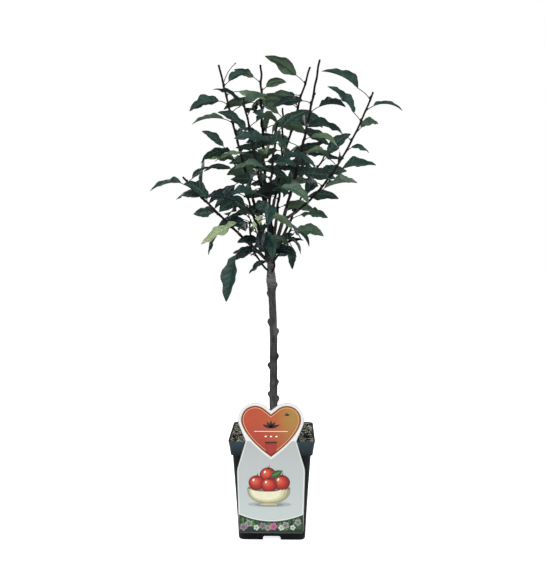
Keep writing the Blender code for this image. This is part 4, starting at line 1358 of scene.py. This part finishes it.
def print_heart(card):
    """The gradient heart in its rings, with two sprigs, a line, a row of dots, a dark bar that is the
    painted shadow of the slot, and a tab with a painted shadow along its cut and a face of the heart's red,
    partly darkened as painted shade.
    """
    for layer, (look, inset) in enumerate(HEART_RINGS.items(), 3):
        card.film(heart(inset), layer, look)
    print_sprig(card, *SPRIG, 0.02, 0.0029, (22, 158))
    print_sprig(card, *SPRIG, 0.0165, 0.0029, (56, 90, 124))
    print_sprig(card, *SMALL_SPRIG, 0.007, 0.0016, (30, 90, 150))
    card.film(bar(*WHITE_LINE), 8, "white_ink")
    for x in DOTS_X:
        card.film(disc(x, DOTS_Z, 0.0022, 0.0016), 8, "white_ink")
    # The slot's painted shadow, then the tab: its cut as a painted shadow, its face as the heart's red
    # partly in painted shade.
    card.film(bar(*SLOT_SHADOW_BAR), 8, "slot_dark")
    card.film(list(TAB), 8, "tab_edge")
    card.film([(x * TAB_FACE, TAB_MIDDLE_Z + (z - TAB_MIDDLE_Z) * TAB_FACE) for x, z in TAB], 9, "tab_red")


def print_apple(card, x, z, size, layer):
    """A whole apple, side on, shaded by five films from its dark edge to its lit cheek."""
    for step in range(5):
        width = (1 - 0.17 * step) * size
        shift = 0.07 * step * size
        card.film(disc(x - shift, z + 0.8 * shift, width, 0.92 * width), layer + step, f"apple_{step + 1}")
    card.film(disc(x - 0.38 * size, z + 0.36 * size, 0.1 * size, 0.16 * size, -24), layer + 6, "white_ink")
    card.film(disc(x + 0.04 * size, z + 0.76 * size, 0.3 * size, 0.08 * size), layer + 6, "apple_1")
    card.film(blade(x + 0.04 * size, z + 0.72 * size, 0.52 * size, 0.05 * size, 74), layer + 7, "brown_ink")


def print_bowl(card):
    """A cream bowl heaped with red apples, on a soft shadow."""
    first = len(card.piece.points)
    x, z = BOWL_RIM
    card.film(disc(-0.003, 0.0885, 0.04, 0.0052), 3, "shadow_1")
    card.film(disc(-0.004, 0.088, 0.027, 0.0036), 4, "shadow_2")
    card.film(disc(x, z, 0.0395, 0.0062), 4, "inside")
    for apple in APPLES:
        print_apple(card, *apple)
    card.film(blade(-0.001, 0.14, 0.025, 0.0066, 28), 21, "leaf_ink")
    card.film(blade(0.001, 0.1415, 0.02, 0.0022, 28), 22, "leaf_ink_light")
    for step in range(4):
        shrunk = 1 - 0.1 * step
        width, height = BOWL_HALF * shrunk, BOWL_DEPTH * shrunk
        side = half_disc(x - 0.0016 * step, z - 0.0004 * step, width, height, BOWL_RIM_DIP)
        card.film(side, 22 + step, f"bowl_{step + 1}")
    card.film(bar(x, 0.0888, 0.03, 0.0034), 26, "bowl_2")
    for point in card.piece.points[first:]:
        point.x = BOWL_X + BOWL_GROWS * (point.x - BOWL_X)
        point.z = BOWL_Z + BOWL_GROWS * (point.z - BOWL_Z)


def print_blossom(card, x, z, size, look, layer, turn):
    """A plain five-petalled blossom, its petals darker towards the middle."""
    shaded = {"petal": "petal_shade", "petal_pink": "pink_shade"}.get(look, "mauve_shade")
    for petal in range(5):
        angle = turn + 72 * petal
        across, up = size * cos(radians(angle)), size * sin(radians(angle))
        outer = disc(x + 0.56 * across, z + 0.56 * up, 0.48 * size, 0.4 * size, angle, 14)
        card.film(outer, layer + petal % 3, look)
        inner = disc(x + 0.34 * across, z + 0.34 * up, 0.26 * size, 0.13 * size, angle, 10)
        card.film(inner, layer + 3, shaded)
    card.film(disc(x, z, 0.15 * size, steps=10), layer + 4, "anther")


def print_strip(card):
    """The strip of blossom among leaves along the card's foot, under the panel's curved edge."""
    half = CARD_FOOT_HALF - STRIP_INSET
    low = CARD_BOTTOM + STRIP_INSET
    top = [(half * (1 - step / 12), strip_top(half * (1 - step / 12))) for step in range(25)]
    card.film([(half, low)] + top + [(-half, low)], 2, "strip_deep")
    chance = random.Random("strip")
    for step in range(STRIP_LEAVES):
        x = -half + 0.006 + (2 * half - 0.012) * (step + 0.5) / STRIP_LEAVES
        z = low + 0.003 + (strip_top(x) - low - 0.01) * chance.random()
        length = min(STRIP_LEAF_LENGTH, 0.85 * (strip_top(x) - z))
        look = chance.choice(("strip_green", "strip_green", "leaf_ink", "strip_light"))
        card.film(blade(x, z, length, 0.3 * length, chance.uniform(55, 125)), 3 + step % 3, look)
    for step, look in enumerate(BLOSSOMS):
        x = BLOSSOMS_FROM + BLOSSOM_SPACING * step + chance.uniform(-0.0025, 0.0025)
        z = low + 0.01 + (strip_top(x) - low - 0.02) * (0.85 if step % 2 else 0.15)
        size = chance.uniform(*BLOSSOM_SIZES)
        look = "petal_" + look if look else "petal"
        print_blossom(card, x, z, size, look, 6 + 5 * (step % 2), chance.uniform(0, 72))


def print_panel(card):
    """The pale panel between the heart and the strip, inside the card's white edge."""
    card.film(card_outline(0.0011), 1, "border")
    upper = [(x, z) for x, z in card_outline(0.0026) if 0.09 < z < 0.24]
    steps = [(CARD_FOOT_HALF - 0.0024) * (1 - i / 12) for i in range(25)]
    edge = [(x, strip_top(x) + 0.0026) for x in reversed(steps)]
    right = [point for point in upper if point[0] > 0]
    left = [point for point in upper if point[0] < 0]
    card.film(edge + right + left, 2, "panel")


# The card

def hook_outline():
    """The hook's side view: out of the card, over the rim and down the sloping wall inside it (y, z)."""
    front = -RIM_SIDE / 2 - GAP - CARD_THICKNESS / 2
    inner = -RIM_SIDE / 2 + POT_WALL + 2 * GAP
    slope = (RIM_SIDE - COLLAR_FOOT_SIDE) / 2 / COLLAR_HEIGHT * HOOK_DROP
    over = POT_HEIGHT + GAP
    back = inner + HOOK_THICKNESS
    low = POT_HEIGHT - HOOK_DROP
    return [(front, over), (inner, over), (inner + slope, low), (back + slope, low),
            (back, over + HOOK_THICKNESS), (front, over + HOOK_THICKNESS)]


def make_plate():
    """The card's plate, with its edges rounded."""
    front = -RIM_SIDE / 2 - GAP - CARD_THICKNESS
    body = bmesh.new()
    face = body.faces.new([body.verts.new((x + CARD_X, front, z)) for x, z in card_outline()])
    pushed = bmesh.ops.extrude_face_region(body, geom=[face])["geom"]
    back = [item for item in pushed if isinstance(item, bmesh.types.BMVert)]
    bmesh.ops.translate(body, vec=(0, CARD_THICKNESS, 0), verts=back)
    plate = object_from(body, "card_plate")
    bevel = plate.modifiers.new("edge", "BEVEL")
    bevel.width = CARD_EDGE
    bevel.segments = 2
    bevel.limit_method = "ANGLE"
    dress(plate, "card_white", 35)
    placed(plate, "card", "card")


def make_card():
    """The plastic card with its print, and the hook that holds it on the rim."""
    make_plate()
    hook = Piece("card_hook", "card", "card")
    half = HOOK_WIDTH / 2
    left, right = ([Vector((CARD_X + x, y, z)) for y, z in hook_outline()] for x in (-half, half))
    hook.add(*prism(left, right), "card_white")
    hook.make(30)
    card = Print()
    print_panel(card)
    print_strip(card)
    print_heart(card)
    print_bowl(card)
    card.piece.make(30)


# The set

def make_camera():
    data = bpy.data.cameras.new("camera")
    data.lens = CAMERA_LENS
    camera = linked("camera", data)
    camera.location = CAMERA_AT
    camera.rotation_euler = (radians(90 - CAMERA_DOWN), 0.0, radians(CAMERA_LEFT))
    bpy.context.scene.camera = camera


def make_floor():
    """A pale floor that looks as white as the surround."""
    mesh = bpy.data.meshes.new("floor")
    corners = [(x * FLOOR_REACH, y * FLOOR_REACH, 0) for x, y in ((-1, -1), (1, -1), (1, 1), (-1, 1))]
    mesh.from_pydata(corners, [], [(0, 1, 2, 3)])
    look = Look("floor_white", 0.9, 0.1, Emission_Color=(1, 1, 1, 1))
    seen = look.node("LightPath", output="Is Camera Ray")
    glow = look.node("MapRange", {"Value": seen, "To Min": 0.05, "To Max": 0.86})
    look.fill(Base_Color=look.ramp(look.noise(3), (0.3, 0.84), (0.7, 0.86)), Emission_Strength=glow)
    mesh.materials.append(look.material)
    floor = linked("floor", mesh)


def make_lights():
    """A white surround that gives a little light, and four soft lights."""
    world = bpy.data.worlds.new("studio")
    world.use_nodes = True
    bpy.context.scene.world = world
    nodes, links = world.node_tree.nodes, world.node_tree.links
    surround = nodes["Background"]
    surround.inputs["Color"].default_value = (1, 1, 1, 1)
    seen = nodes.new("ShaderNodeLightPath")
    strength = nodes.new("ShaderNodeMapRange")
    strength.inputs["To Min"].default_value = WORLD_LIGHT
    strength.inputs["To Max"].default_value = 1.0
    links.new(seen.outputs["Is Camera Ray"], strength.inputs["Value"])
    links.new(strength.outputs[0], surround.inputs["Strength"])
    for name, (place, size, power) in LIGHTS.items():
        data = bpy.data.lights.new(name, "AREA")
        data.size = size
        data.energy = power
        light = linked(name, data)
        light.location = place
        light.rotation_euler = (Vector(LIGHTS_AIM) - Vector(place)).to_track_quat("-Z", "Y").to_euler()


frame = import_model()
bpy.context.scene.view_settings.view_transform = "Standard"
make_camera()
make_floor()
make_lights()
make_looks()
make_pot()
make_soil()
make_card()
make_bark()
make_foliage()
